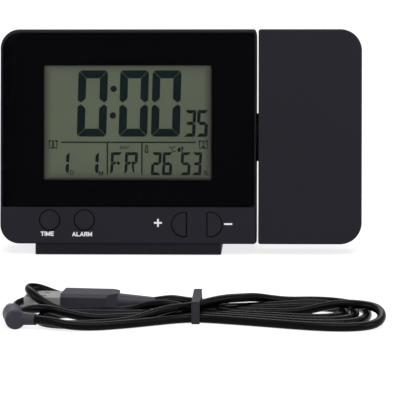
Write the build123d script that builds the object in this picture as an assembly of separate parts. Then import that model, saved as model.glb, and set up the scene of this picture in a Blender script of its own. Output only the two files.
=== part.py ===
from build123d import *
from math import cos, radians, sin, tan
import os

# Projection alarm clock, in millimetres: a clock body on a foot, a projector arm that turns on a
# friction hinge at the body's right side, and a tied lead that lies in front.
#
# The clock is drawn upright: X to the right from the body's left side, Y back from the front face,
# Z up from the body's underside. main() then tips it back onto the flat underside of its foot.

# ---- overall form
BODY_W = 106.2
ARM_W = 42.8
ARM_GAP = 1.0
HEIGHT = 89.0
BODY_D = 28.0
ARM_D = 20.0
WALL = 2.0
ARM_WALL = 1.8
LEAN = 10.0

# ---- clearances
FIT = 0.1
RUNNING = 0.06
APART = 0.3

# ---- casing halves
BODY_SPLIT = 9.0
ARM_SPLIT = 8.0
OUTER_R = 8.0
ARM_OUTER_R = 9.0
HINGE_SIDE_R = 1.0
FRONT_EDGE_R = 0.8
BACK_EDGE_R = 7.0
ARM_BACK_EDGE_R = 4.5
LIP_T = 0.9
LIP_L = 1.5

# ---- display window
WINDOW_T = 1.5
MASK_T = 0.25
RIM_TOP = 1.4
RIM_LEFT = 0.85
RIM_RIGHT = 0.5
BAND_H = 15.2
WINDOW_SEAT_R = 0.8
SKIN = 3.3
BAND_SKIN = 2.0
BAND_SHELF = 0.5

# ---- display stack
LCD_OFF_X = -0.375
LCD_OFF_Z = -1.1
GLASS_SIDES = 30.2
LIGHT_ENDS = 43.0
VIEW_IN = 6.2
VIEW_OVER = 1.6
VIEW_R = 1.2
GLASS_T = 2.0
GLASS_Y = 2.0
GLASS_EDGE = 0.6
FRAME_SIDE = 3.0
FRAME_ENDS = 2.5
FRAME_R = 1.0
LIGHT_IN = 4.0
LIGHT_T = 3.0
ZEBRA_IN = 8.0
ZEBRA_T = 2.2
ZEBRA_GAP = 1.2
LED_POCKET_H = 8.0
LED_POCKET_W = 2.0
LED_POCKET_FLOOR = 1.0

# ---- main board
BOARD_Y = 9.0
BOARD_T = 1.6
BOARD_X0 = 12.6
BOARD_HINGE_GAP = 11.7
BOARD_Z0 = 4.0
BOARD_TOP_GAP = 5.0
BOARD_CORNER_R = 1.0
BOARD_POST_R = 2.0
BOARD_POST_LOW_X = 16.0
BOARD_POST_LOW_Z = 17.6
BOARD_POST_SIDE = 4.0
BOARD_POST_TOP = 2.0
SCREW_R = 0.9
SCREW_HEAD_R = 1.9
SCREW_HEAD_T = 1.2
SCREW_L = 5.0

# ---- parts on the main board: chips and crystal from its left edge, sensor from the battery bay,
# capacitor and headers (two sides in X, two in Z) in from its right edge, which follows the hinge
CHIP_X = 29.4
CHIP_DROP = 17.0
CHIP_R = 5.5
CHIP_TOP_R = 3.4
CHIP_T = 1.4
CRYSTAL_X = 39.4
CRYSTAL_DROP = 16.0
CRYSTAL_R = 1.2
CRYSTAL_L = 6.0
CAPACITOR_SIDE = 24.5
CAPACITOR_Z = 24.0
CAPACITOR_R = 2.5
CAPACITOR_L = 7.0
HEADER_H = 4.5
ARM_HEADER = (10.5, 2.5, 40.0, 46.0)
POWER_HEADER = (16.5, 10.5, 24.0, 29.0)
CHIP_ROW_X = 11.4
CHIP_ROW_PITCH = 6.0
CHIP_ROW_COUNT = 5
CHIP_ROW_Z = 20.0
SMALL_CHIP = (3.0, 1.1, 1.6)
SENSOR_X = 5.4
SENSOR_RISE = 3.8
SENSOR_W = 12.0
SENSOR_T = 5.0
SENSOR_SLOTS = 4
SENSOR_SLOT_W = 1.2
SENSOR_SLOT_DEPTH = 1.5

# ---- front buttons
KEY_R = 4.1
KEY_Z = 9.8
TIME_X = 20.7
ALARM_X = 35.1
HALF_R = 4.95
HALF_Z = 8.05
PLUS_SIDE = 29.75
PLUS_FLAT = 0.95
MINUS_SIDE = 18.95
MINUS_FLAT = 1.1
KEY_PROUD = 0.3
KEY_EDGE_R = 0.3
KEY_FLANGE = 0.6
KEY_FLANGE_T = 1.0
KEY_STEM_R = 1.6
KEY_TRAVEL = 0.5
KEY_GAP = 0.35
SWITCH_W = 6.0
SWITCH_T = 3.4
PLUNGER_R = 1.7
PLUNGER_L = 0.7
SIDE_SWITCH_T = 4.0
SIDE_SWITCH_H = 5.0

# ---- snooze bar in the top wall
SNOOZE_SIDE = 42.6
SNOOZE_W = 34.0
SNOOZE_D = 9.0
SNOOZE_BACK = 11.5
SNOOZE_EDGE_R = 0.4
SNOOZE_STEM_R = 1.2
SNOOZE_PROUD = 0.15
SNOOZE_FLANGE = 1.0
SNOOZE_TRAVEL = 0.8
SNOOZE_MARK_W = 3.4
SNOOZE_MARK_H = 0.25
SNOOZE_SWITCH_DROP = 4.8

# ---- case screws and their bosses
CASE_BOSS_IN_X = 8.0
CASE_BOSS_LOW = 9.2
CASE_BOSS_TOP = 8.8
BOSS_R = 3.1
CASE_SCREW_R = 1.2
CASE_HEAD_R = 2.3
CASE_HEAD_T = 1.6
COUNTERBORE = 12.0

# ---- battery bay for two AAA cells
CELL_R = 5.2
CELL_L = 43.7
NUB_R = 1.9
NUB_L = 0.8
CELL_ROOM = 0.3
BAY_X0 = 12.0
BAY_Z0 = 33.0
BAY_WALL = 1.2
SPRING_L = 4.0
CONTACT_T = 0.4
CONTACT_W = 8.0
CONTACT_H = 9.0
LEAF_H = 8.0
LEAF_W = 4.0
BUMP_R = 1.5
DOOR_T = 1.7
DOOR_CLEAR = 0.25
DOOR_CORNER_R = 0.8
TONGUE_W = 6.0
TONGUE_T = 1.1
TONGUE_L = 1.8
LATCH_W = 10.0
LATCH_L = 1.8
LATCH_T = 1.0
NOTCH_DEPTH = 0.7
GRIP_COUNT = 5
GRIP_PITCH = 1.6
GRIP_W = 16.0
GRIP_DEPTH = 0.4
GRIP_START = 7.0

# ---- rear features
JACK_SIDE = 18.2
JACK_Z = 17.0
JACK_W = 8.0
JACK_H = 7.0
JACK_L = 11.0
JACK_NOSE_R = 3.4
JACK_BORE_R = 1.8
JACK_BORE_L = 9.8
JACK_RIB_T = 1.2
JACK_RIB_L = 8.0
JACK_RIB_H = 8.0
JACK_NOSE_DEEP = 0.4
JACK_PIN_DEEP = 2.0
JACK_PIN_R = 0.6
BUZZER_SIDE = 20.2
BUZZER_DROP = 21.0
BUZZER_R = 9.0
BUZZER_T = 3.0
BUZZER_CUP_T = 1.4
BUZZER_RIM = 2.0
BUZZER_DISH = 1.0
GRILLE_R = 0.9
GRILLE_RING = 5.0
GRILLE_HOLES = 6
VENT_W = 1.6
VENT_H = 10.0
VENT_PITCH = 3.6
VENT_COUNT = 8
VENT_X0 = 18.0
VENT_DROP = 18.0

# ---- foot
FOOT_X0 = 14.6
FOOT_SIDE = 14.3
FOOT_DROP = 4.6
FOOT_FRONT = 0.8
FOOT_TAIL = 17.0
FOOT_TOP = 4.2
FOOT_TAIL_T = 2.6
FOOT_TAIL_SLOPE = 0.6
FOOT_RISE = 3.0
FOOT_RISE_RUN = 2.0
FOOT_REAR_R = 12.0
FOOT_FRONT_R = 1.0
PAD_R = 4.5
PAD_T = 1.2
PAD_PROUD = 0.4
PAD_IN = 9.4
PAD_FRONT = 7.5
PAD_BACK = 9.0
FOOT_SCREW_IN = 23.4
FOOT_SCREW_Y = 14.0
FOOT_BOSS_H = 9.0
FOOT_SEAT = 1.2
FOOT_HEAD_T = 0.8

# ---- hinge between body and arm
AXIS_Y = 10.0
AXIS_Z = 44.5
HUB_R = 10.0
BUSH_R = 7.0
BUSH_BOSS_R = 9.5
BUSH_BOSS_T = 2.0
SHAFT_R = 5.0
SHAFT_BORE_R = 3.4
SHAFT_FLANGE = 17.0
SHAFT_FLANGE_T = 2.0
WASHER_R = 6.4
WASHER_T = 1.0
RING_R = 6.2
RING_T = 0.8
RING_OPENING = 4.0
GROOVE_DEPTH = 0.7
SHAFT_TAIL = 1.6
WIRE_R = 0.6
WIRE_COUNT = 5
WIRE_RING = 1.9
WIRE_OVERHANG = 3.0

# ---- projector in the arm
OPTIC_DROP = 25.0
PROJ_BOARD_Y = 4.0
PROJ_BOARD_W = 30.0
PROJ_BOARD_T = 1.2
PROJ_BOARD_Z0 = 27.0
PROJ_BOARD_TOP = 13.0
PROJ_POST_IN = 3.0
LED_W = 5.0
LED_T = 1.2
LED_DOME_R = 1.7
TUBE_R = 8.7
TUBE_BORE_R = 7.6
TUBE_END_IN = 2.6
SLIDE_W = 10.4
SLIDE_IN = 8.8
SLIDE_T = 1.3
CONDENSER_R = 6.0
CONDENSER_IN = 11.8
CONDENSER_T = 2.2
HOLDER_BORE_R = 6.0
HOLDER_IN = 5.8
HOLDER_OUT = 0.6
LENS_LEDGE = 0.8
LENS_T = 3.2
LENS_IN = 3.8
LENS_CURVE = 14.0
FOCUS_OPENING_R = 9.6
FOCUS_R = 12.0
FOCUS_BORE_R = 8.0
FOCUS_H = 3.4
FOCUS_SKIRT_L = 2.6
FOCUS_CHAMFER = 0.6
FOCUS_GRIPS = 24
FOCUS_GRIP_R = 0.55
FLIP_OFF = -0.1
FLIP_Z = 34.0
FLIP_R = 3.0
FLIP_FLANGE_R = 4.0
FLIP_PROUD = 0.6
FLIP_TRAVEL = 0.5
ARM_BOSS_HINGE = 5.8
ARM_BOSS_SIDE = 7.0
ARM_BOSS_END = 9.5
ARM_SCREW_DEPTH = 5.0

# ---- lead: its own frame is the tie's middle on the table, +X along the hank
CORD_D = 3.3
LEAD_X = 12.0
LEAD_Y = -140.0
HANK_H = 7.6
TIE_W = 3.0
TIE_T = 0.8
TIE_LOOP_W = 8.0
TIE_LOOP_L = 7.0
TIE_LOOP_HOLE_R = 1.1
USB_TIP = (-64.5, 12.8)
USB_HEADING = -6.0
USB_SHELL = (14.0, 12.0, 4.5)
USB_SHELL_T = 0.35
USB_WINDOW = (2.2, 2.0)
USB_TONGUE_T = 1.9
USB_GRIP = (21.0, 13.0, 7.6)
USB_GRIP_EDGE_R = 1.2
USB_SHOULDER_L = 4.0
USB_RELIEF_R = 3.3
USB_RELIEF_L = 14.0
RELIEF_END_R = 2.1
DC_TIP = (-69.5, -1.0)
DC_HEADING = -78.0
DC_BARREL_R = 1.75
DC_BARREL_L = 9.5
DC_BORE_R = 0.75
DC_GRIP_R = 3.7
DC_GRIP_L = 12.0
DC_GRIP_EDGE = 0.6
DC_EXIT_HEADING = -18.0
DC_RELIEF_R = 2.7
DC_RELIEF_L = 8.5

HUB_T = ARM_GAP - RUNNING
ARM_X0 = BODY_W + ARM_GAP
ARM_X1 = ARM_X0 + ARM_W
ARM_MID = (ARM_X0 + ARM_X1) / 2
LCD_X = (RIM_LEFT + BODY_W - RIM_RIGHT) / 2 + LCD_OFF_X
LCD_Z = (BAND_H + HEIGHT - RIM_TOP) / 2 + LCD_OFF_Z
GLASS_W = BODY_W - GLASS_SIDES
LIGHT_W = GLASS_W - LIGHT_IN
LIGHT_H = HEIGHT - LIGHT_ENDS
VIEW_W = GLASS_W - VIEW_IN
VIEW_H = LIGHT_H + VIEW_OVER
ZEBRA_W = GLASS_W - ZEBRA_IN
ZEBRA_OFF = (LIGHT_H + ZEBRA_T) / 2 + ZEBRA_GAP
GLASS_H = 2 * ZEBRA_OFF + ZEBRA_T + 2 * GLASS_EDGE
FRAME_W = GLASS_W + 2 * FRAME_SIDE
FRAME_H = GLASS_H + 2 * FRAME_ENDS
BOARD_X1 = BODY_W - BOARD_HINGE_GAP
BOARD_Z1 = HEIGHT - BOARD_TOP_GAP
BOARD_BACK = BOARD_Y + BOARD_T
BOARD_POST_X = (BOARD_POST_LOW_X, BOARD_X1 - BOARD_POST_SIDE)
BOARD_POST_Z = (BOARD_POST_LOW_Z, BOARD_Z1 - BOARD_POST_TOP)
PLUS_X = BODY_W - PLUS_SIDE
MINUS_X = BODY_W - MINUS_SIDE
SNOOZE_X = BODY_W - SNOOZE_SIDE
SNOOZE_Y = BODY_D - SNOOZE_BACK
SNOOZE_SWITCH_TOP = HEIGHT - SNOOZE_SWITCH_DROP
CASE_BOSS_X = (CASE_BOSS_IN_X, BODY_W - CASE_BOSS_IN_X)
CASE_BOSS_Z = (CASE_BOSS_LOW, HEIGHT - CASE_BOSS_TOP)
JACK_X = BODY_W - JACK_SIDE
BUZZER_X = BODY_W - BUZZER_SIDE
BUZZER_Z = HEIGHT - BUZZER_DROP
FOOT_X1 = BODY_W - FOOT_SIDE
FOOT_BACK = BODY_D + FOOT_TAIL
PAD_X = (FOOT_X0 + PAD_IN, FOOT_X1 - PAD_IN)
PAD_Y = (PAD_FRONT, FOOT_BACK - PAD_BACK)
FOOT_SCREW_X = (FOOT_X0 + FOOT_SCREW_IN, FOOT_X1 - FOOT_SCREW_IN)
OPTIC_Z = HEIGHT - OPTIC_DROP
PROJ_BOARD_Z1 = HEIGHT - PROJ_BOARD_TOP
PROJ_BACK = PROJ_BOARD_Y + PROJ_BOARD_T
TUBE_END_Y = ARM_D - TUBE_END_IN
SLIDE_Y = ARM_D - SLIDE_IN
CONDENSER_Y = ARM_D - CONDENSER_IN
HOLDER_Y0 = ARM_D - HOLDER_IN
HOLDER_Y1 = ARM_D + HOLDER_OUT
LENS_Y = ARM_D - LENS_IN
FLIP_X = ARM_MID + FLIP_OFF
ARM_BOSS_X = (ARM_X0 + ARM_BOSS_HINGE, ARM_X1 - ARM_BOSS_SIDE)
ARM_BOSS_Z = (ARM_BOSS_END, HEIGHT - ARM_BOSS_END)
POCKET_D = WINDOW_T + MASK_T
BAY_X1 = BAY_X0 + CELL_L + NUB_L + SPRING_L + 4 * CONTACT_T
BAY_Z1 = BAY_Z0 + 4 * (CELL_R + CELL_ROOM)
DOOR_SEAT = BODY_D - DOOR_T
BAY_Y0 = DOOR_SEAT - 2 * CELL_R - 2 * CELL_ROOM
LATCH_X = (BAY_X0 + BAY_X1) / 2
JACK_END = BODY_D - WALL


# ---- shared shapes

def block(x0, x1, y0, y1, z0, z1):
    """Box given by its six faces."""
    middle = Pos((x0 + x1) / 2, (y0 + y1) / 2, (z0 + z1) / 2)
    return middle * Box(x1 - x0, y1 - y0, z1 - z0)


def peg(x, z, y0, y1, r):
    """Round bar along Y."""
    return Pos(x, (y0 + y1) / 2, z) * Rot(90, 0, 0) * Cylinder(r, y1 - y0)


def axle(x0, x1, r, y=AXIS_Y, z=AXIS_Z):
    """Round bar along X, on the arm's hinge axis if nothing else is given."""
    return Pos((x0 + x1) / 2, y, z) * Rot(0, 90, 0) * Cylinder(r, x1 - x0)


def rounded_rectangle(x0, x1, z0, z1, corners):
    """Sketch with corner radii in the order bottom left, bottom right, top right, top left."""
    sketch = Pos((x0 + x1) / 2, (z0 + z1) / 2) * Rectangle(x1 - x0, z1 - z0)
    places = ((x0, z0), (x1, z0), (x1, z1), (x0, z1))
    for (x, z), r in zip(places, corners):
        if r > 0:
            corner = sketch.vertices().sort_by_distance((x, z, 0))[0]
            sketch = fillet(corner, r)
    return sketch


def upright(sketch, y0, y1):
    """Front view sketch drawn in X and Z, made a solid between y0 and y1."""
    return Pos(0, y0, 0) * Rot(90, 0, 0) * extrude(sketch, amount=y0 - y1)


def plate(x0, x1, z0, z1, y0, y1, corners):
    """Rounded plate that faces the front."""
    return upright(rounded_rectangle(x0, x1, z0, z1, corners), y0, y1)


def round_set(places, y0, y1, r):
    """Like pegs at several places, as one group."""
    return [peg(x, z, y0, y1, r) for x, z in places]


def grid(xs, zs):
    return [(x, z) for x in xs for z in zs]


def group(pieces):
    """Like pieces kept as separate solids of one node."""
    return Part() + list(pieces)


def front_rim(solid):
    """Edges round the front face of a casing."""
    return solid.faces().sort_by(Axis.Y)[0].outer_wire().edges()


# ---- casing forms, shared by both halves of the body and of the arm

def body_block(inset, y0, y1, hinge_side_r=0.0):
    left = OUTER_R - inset
    corners = (left, hinge_side_r, hinge_side_r, left)
    return plate(inset, BODY_W - inset, inset, HEIGHT - inset, y0, y1, corners)


def arm_block(inset, y0, y1, hinge_side_r=0.0):
    right = ARM_OUTER_R - inset
    corners = (hinge_side_r, right, right, hinge_side_r)
    return plate(ARM_X0 + inset, ARM_X1 - inset, inset, HEIGHT - inset, y0, y1, corners)


def soft_back(solid, hinge_end, back_r, side_r):
    """Rounds a block's back edges, all but the one beside the hinge, and then the hinge side's own edges."""
    hinge_x = solid.faces().sort_by(Axis.X)[hinge_end].center().X
    rim = solid.faces().sort_by(Axis.Y)[-1].outer_wire().edges()
    solid = fillet([edge for edge in rim if abs(edge.center().X - hinge_x) > FIT], back_r)
    if side_r == 0:
        return solid
    front_y = solid.bounding_box().min.Y
    side = solid.faces().sort_by(Axis.X)[hinge_end].outer_wire().edges()
    return fillet([edge for edge in side if edge.center().Y > front_y + FIT], side_r)


def body_form(inset, y0):
    side_r = HINGE_SIDE_R if inset == 0 else 0
    return soft_back(body_block(inset, y0, BODY_D - inset), -1, BACK_EDGE_R - inset, side_r)


def arm_form(inset, y0):
    side_r = HINGE_SIDE_R if inset == 0 else 0
    return soft_back(arm_block(inset, y0, ARM_D - inset), 0, ARM_BACK_EDGE_R - inset, side_r)


def lap_lip(casing_block, wall, split):
    """Lip of a rear casing that steps into the front casing's rebate."""
    outside = casing_block(wall - LIP_T, split - LIP_L + FIT, split)
    return outside - casing_block(wall, split - LIP_L, split)


def lap_rebate(casing_block, wall, split):
    return casing_block(wall - LIP_T - FIT, split - LIP_L, split)


# ---- front casing, window and mask

def half_moon(x, flat, side, r, y0, y1):
    """Round bar cut flat on one side; flat is the distance from its middle to the cut."""
    bar = peg(x, HALF_Z, y0, y1, r)
    edge = x + side * flat
    near, far = sorted((edge, edge + side * 3 * HALF_R))
    return bar - block(near, far, y0, y1, HALF_Z - 2 * HALF_R, HALF_Z + 2 * HALF_R)


def key_bar(name, grow, y0, y1):
    """Section of a front button grown by a margin all round."""
    if name == "time":
        return peg(TIME_X, KEY_Z, y0, y1, KEY_R + grow)
    if name == "alarm":
        return peg(ALARM_X, KEY_Z, y0, y1, KEY_R + grow)
    if name == "plus":
        return half_moon(PLUS_X, PLUS_FLAT + grow, 1, HALF_R + grow, y0, y1)
    return half_moon(MINUS_X, MINUS_FLAT + grow, -1, HALF_R + grow, y0, y1)


KEY_NAMES = ("time", "alarm", "plus", "minus")
KEY_PLACES = (
    (TIME_X, KEY_Z),
    (ALARM_X, KEY_Z),
    (PLUS_X - PLUS_FLAT, HALF_Z),
    (MINUS_X + MINUS_FLAT, HALF_Z),
)


def window_outline(clear, y0, y1):
    top_r = OUTER_R - RIM_LEFT - clear
    seat_r = WINDOW_SEAT_R
    corners = (seat_r, seat_r, seat_r, top_r)
    x0 = RIM_LEFT + clear
    x1 = BODY_W - RIM_RIGHT - clear
    return plate(x0, x1, BAND_H + clear, HEIGHT - RIM_TOP - clear, y0, y1, corners)


def centred_on_display(width, height, y0, y1, r=0.0):
    x0 = LCD_X - width / 2
    z0 = LCD_Z - height / 2
    return plate(x0, x0 + width, z0, z0 + height, y0, y1, (r, r, r, r))


def hinge_bore(y_front, y_back):
    """Half of the round seat that holds the hinge bush, for the casing between two depths."""
    seat = axle(BODY_W - WALL - BUSH_BOSS_T - FIT, BODY_W + FIT, BUSH_R)
    return seat & block(0, ARM_X1, y_front, y_back, 0, HEIGHT)


def hinge_boss(y_front, y_back):
    ring = axle(BODY_W - WALL - BUSH_BOSS_T, BODY_W - WALL, BUSH_BOSS_R)
    return ring & block(0, ARM_X1, y_front, y_back, 0, HEIGHT)


def front_casing():
    casing = body_block(0, 0, BODY_SPLIT, HINGE_SIDE_R)
    casing = fillet(front_rim(casing), FRONT_EDGE_R)
    casing -= body_block(WALL, SKIN, BODY_SPLIT)
    casing -= lap_rebate(body_block, WALL, BODY_SPLIT)
    casing -= block(WALL + OUTER_R, BODY_W - WALL, BAND_SKIN, SKIN, WALL, BAND_H - BAND_SHELF)
    casing -= window_outline(0, -FIT, POCKET_D)
    casing -= centred_on_display(GLASS_W + 2 * FIT, GLASS_H + 2 * FIT, POCKET_D, SKIN)
    casing += round_set(grid(CASE_BOSS_X, CASE_BOSS_Z), BAND_SKIN, BODY_SPLIT, BOSS_R)
    casing += round_set(grid(BOARD_POST_X, BOARD_POST_Z), BAND_SKIN, BOARD_Y, BOARD_POST_R)
    casing += hinge_boss(SKIN, BODY_SPLIT)
    casing -= hinge_bore(SKIN - WALL, BODY_SPLIT)
    pilot = BODY_SPLIT - SKIN
    casing -= round_set(grid(CASE_BOSS_X, CASE_BOSS_Z), SKIN, SKIN + pilot, CASE_SCREW_R)
    casing -= round_set(grid(BOARD_POST_X, BOARD_POST_Z), SKIN, BOARD_Y, SCREW_R)
    for name in KEY_NAMES:
        casing -= key_bar(name, KEY_GAP, -FIT, SKIN)
    return casing


def display_window():
    return window_outline(FIT, 0, WINDOW_T)


def window_mask():
    return window_outline(FIT, WINDOW_T, POCKET_D) - centred_on_display(VIEW_W, VIEW_H, 0, SKIN, VIEW_R)


# ---- display stack

def lcd_glass():
    return centred_on_display(GLASS_W, GLASS_H, GLASS_Y, GLASS_Y + GLASS_T)


def zebra_slots(grow, y0, y1):
    slots = []
    for side in (-1, 1):
        z = LCD_Z + side * ZEBRA_OFF
        half = ZEBRA_T / 2 + grow
        reach = ZEBRA_W / 2 + grow
        slots.append(block(LCD_X - reach, LCD_X + reach, y0, y1, z - half, z + half))
    return slots


def lcd_frame():
    seat_y = GLASS_Y + GLASS_T
    frame = centred_on_display(FRAME_W, FRAME_H, SKIN, BOARD_Y, FRAME_R)
    frame -= centred_on_display(GLASS_W + 2 * FIT, GLASS_H + 2 * FIT, SKIN, seat_y)
    frame -= centred_on_display(LIGHT_W + 2 * FIT, LIGHT_H + 2 * FIT, seat_y, BOARD_Y)
    frame -= zebra_slots(FIT, seat_y, BOARD_Y)
    return frame


def backlight():
    y0 = GLASS_Y + GLASS_T
    panel = centred_on_display(LIGHT_W, LIGHT_H, y0, y0 + LIGHT_T)
    x0 = LCD_X - LIGHT_W / 2
    half = LED_POCKET_H / 2
    floor = y0 + LED_POCKET_FLOOR
    return panel - block(x0, x0 + LED_POCKET_W, floor, y0 + LIGHT_T, LCD_Z - half, LCD_Z + half)


def zebra_strips():
    return group(zebra_slots(0, GLASS_Y + GLASS_T, BOARD_Y))


# ---- main board and what is on it

def main_board():
    corners = (BOARD_CORNER_R,) * 4
    board = plate(BOARD_X0, BOARD_X1, BOARD_Z0, BOARD_Z1, BOARD_Y, BOARD_BACK, corners)
    return board - round_set(grid(BOARD_POST_X, BOARD_POST_Z), BOARD_Y, BOARD_BACK, SCREW_R + FIT)


def header(sides):
    far, near, z0, z1 = sides
    return block(BOARD_X1 - far, BOARD_X1 - near, BOARD_BACK, BOARD_BACK + HEADER_H, z0, z1)


def board_parts():
    """Driver chip under its drop of resin, clock crystal, capacitor, small chips and two headers."""
    resin = Cone(CHIP_R, CHIP_TOP_R, CHIP_T, align=(Align.CENTER, Align.CENTER, Align.MIN))
    chip = Pos(BOARD_X0 + CHIP_X, BOARD_BACK, BOARD_Z1 - CHIP_DROP) * Rot(-90, 0, 0) * resin
    can = Cylinder(CRYSTAL_R, CRYSTAL_L)
    crystal = Pos(BOARD_X0 + CRYSTAL_X, BOARD_BACK + CRYSTAL_R, BOARD_Z1 - CRYSTAL_DROP) * can
    capacitor_x = BOARD_X1 - CAPACITOR_SIDE
    capacitor = peg(capacitor_x, CAPACITOR_Z, BOARD_BACK, BOARD_BACK + CAPACITOR_L, CAPACITOR_R)
    width, thickness, height = SMALL_CHIP
    small = []
    for i in range(CHIP_ROW_COUNT):
        x = BOARD_X0 + CHIP_ROW_X + CHIP_ROW_PITCH * i
        small.append(block(x, x + width, BOARD_BACK, BOARD_BACK + thickness, CHIP_ROW_Z, CHIP_ROW_Z + height))
    return group([chip, crystal, capacitor, header(ARM_HEADER), header(POWER_HEADER)] + small)


def tact_switches():
    """Five push switches: four face the front buttons, one stands under the snooze bar."""
    parts = []
    for x, z in KEY_PLACES:
        half = SWITCH_W / 2
        case = block(x - half, x + half, BOARD_Y - SWITCH_T, BOARD_Y, z - half, z + half)
        parts.append(case + peg(x, z, BOARD_Y - SWITCH_T - PLUNGER_L, BOARD_Y - SWITCH_T, PLUNGER_R))
    half = SWITCH_W / 2
    top = SNOOZE_SWITCH_TOP - PLUNGER_L
    back = BOARD_BACK + SIDE_SWITCH_T
    side = block(SNOOZE_X - half, SNOOZE_X + half, BOARD_BACK, back, top - SIDE_SWITCH_H, top)
    middle = Pos(SNOOZE_X, BOARD_BACK + SIDE_SWITCH_T / 2, top + PLUNGER_L / 2)
    parts.append(side + middle * Cylinder(PLUNGER_R, PLUNGER_L))
    return group(parts)


def climate_sensor():
    """Temperature and humidity sensor in its slotted case, on the back of the board."""
    x0 = BOARD_X0 + SENSOR_X
    z0 = BAY_Z1 + BAY_WALL + SENSOR_RISE
    face = BOARD_BACK + SENSOR_T
    case = block(x0, x0 + SENSOR_W, BOARD_BACK, face, z0, z0 + SENSOR_W)
    for i in range(SENSOR_SLOTS):
        z = z0 + SENSOR_SLOT_W * (2 * i + 1.5)
        inset = SENSOR_SLOT_W * 1.5
        case -= block(x0 + inset, x0 + SENSOR_W - inset, face - SENSOR_SLOT_DEPTH, face, z, z + SENSOR_SLOT_W)
    return case


def board_screws():
    screws = []
    for x, z in grid(BOARD_POST_X, BOARD_POST_Z):
        head = peg(x, z, BOARD_BACK, BOARD_BACK + SCREW_HEAD_T, SCREW_HEAD_R)
        screws.append(head + peg(x, z, BOARD_BACK - SCREW_L, BOARD_BACK, SCREW_R))
    return group(screws)


# ---- buttons

def front_button(name):
    place = KEY_PLACES[KEY_NAMES.index(name)]
    flange_y = BAND_SKIN + FIT
    stem_end = BOARD_Y - SWITCH_T - PLUNGER_L - KEY_TRAVEL - FIT
    cap = key_bar(name, 0, -KEY_PROUD, flange_y)
    cap = fillet(cap.faces().sort_by(Axis.Y)[0].outer_wire().edges(), KEY_EDGE_R)
    cap += key_bar(name, KEY_FLANGE, flange_y, flange_y + KEY_FLANGE_T)
    cap += peg(place[0], place[1], flange_y, stem_end, KEY_STEM_R)
    return cap


def snooze_outline(grow, z0, z1):
    x0 = SNOOZE_X - SNOOZE_W / 2 - grow
    x1 = SNOOZE_X + SNOOZE_W / 2 + grow
    y0 = SNOOZE_Y - SNOOZE_D / 2 - grow
    y1 = SNOOZE_Y + SNOOZE_D / 2 + grow
    r = SNOOZE_D / 2 + grow - 0.01
    return Pos(0, 0, z0) * extrude(rounded_rectangle(x0, x1, y0, y1, (r, r, r, r)), amount=z1 - z0)


def snooze_bar():
    top = HEIGHT + SNOOZE_PROUD
    under = HEIGHT - WALL - FIT
    low = under - SNOOZE_FLANGE
    bar = snooze_outline(0, low, top)
    bar = fillet(bar.faces().sort_by(Axis.Z)[-1].outer_wire().edges(), SNOOZE_EDGE_R)
    bar += snooze_outline(SNOOZE_FLANGE, low, under)
    stem_end = SNOOZE_SWITCH_TOP + SNOOZE_TRAVEL + FIT
    stem_y = BOARD_BACK + SIDE_SWITCH_T / 2
    bar += block(SNOOZE_X - SNOOZE_STEM_R, SNOOZE_X + SNOOZE_STEM_R, stem_y, SNOOZE_Y, low, under)
    bar += Pos(SNOOZE_X, stem_y, (stem_end + under) / 2) * Cylinder(SNOOZE_STEM_R, under - stem_end)
    return bar + Pos(SNOOZE_X, SNOOZE_Y, top) * Cylinder(SNOOZE_MARK_W / 2, 2 * SNOOZE_MARK_H)


# ---- rear casing

def battery_bay_outside():
    x0 = BAY_X0 - BAY_WALL
    x1 = BAY_X1 + BAY_WALL
    return block(x0, x1, BAY_Y0 - BAY_WALL, BODY_D - WALL, BAY_Z0 - BAY_WALL, BAY_Z1 + BAY_WALL)


def door_outline(grow, y0, y1):
    x0 = BAY_X0 - BAY_WALL + DOOR_CLEAR - grow
    x1 = BAY_X1 + BAY_WALL - DOOR_CLEAR + grow
    z0 = BAY_Z0 - BAY_WALL + DOOR_CLEAR - grow
    z1 = BAY_Z1 + BAY_WALL - DOOR_CLEAR + grow
    return plate(x0, x1, z0, z1, y0, y1, (DOOR_CORNER_R,) * 4)


def tongue_places():
    quarter = (BAY_X1 - BAY_X0) / 4
    return (BAY_X0 + quarter, BAY_X1 - quarter)


def tongue_slots():
    """Slots in the bay's lower wall that take the door's two tongues and let them swing."""
    z0 = BAY_Z0 - BAY_WALL - TONGUE_L - APART
    reach = TONGUE_T + DOOR_T + TONGUE_L + APART
    half = TONGUE_W / 2 + APART
    return [block(x - half, x + half, BODY_D - reach, DOOR_SEAT, z0, BAY_Z0 + FIT) for x in tongue_places()]


def grille_places():
    ring = [(0.0, 0.0)]
    for i in range(GRILLE_HOLES):
        turn = radians(360 / GRILLE_HOLES * i)
        ring.append((GRILLE_RING * cos(turn), GRILLE_RING * sin(turn)))
    return [(BUZZER_X + x, BUZZER_Z + z) for x, z in ring]


def jack_ribs():
    """Two ribs on the rear wall that hold the jack between them."""
    near = JACK_W / 2 + FIT
    far = near + JACK_RIB_T
    z0 = JACK_Z - JACK_RIB_H / 2
    z1 = JACK_Z + JACK_RIB_H / 2
    left = block(JACK_X - far, JACK_X - near, JACK_END - JACK_RIB_L, JACK_END, z0, z1)
    right = block(JACK_X + near, JACK_X + far, JACK_END - JACK_RIB_L, JACK_END, z0, z1)
    return [left, right]


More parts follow.
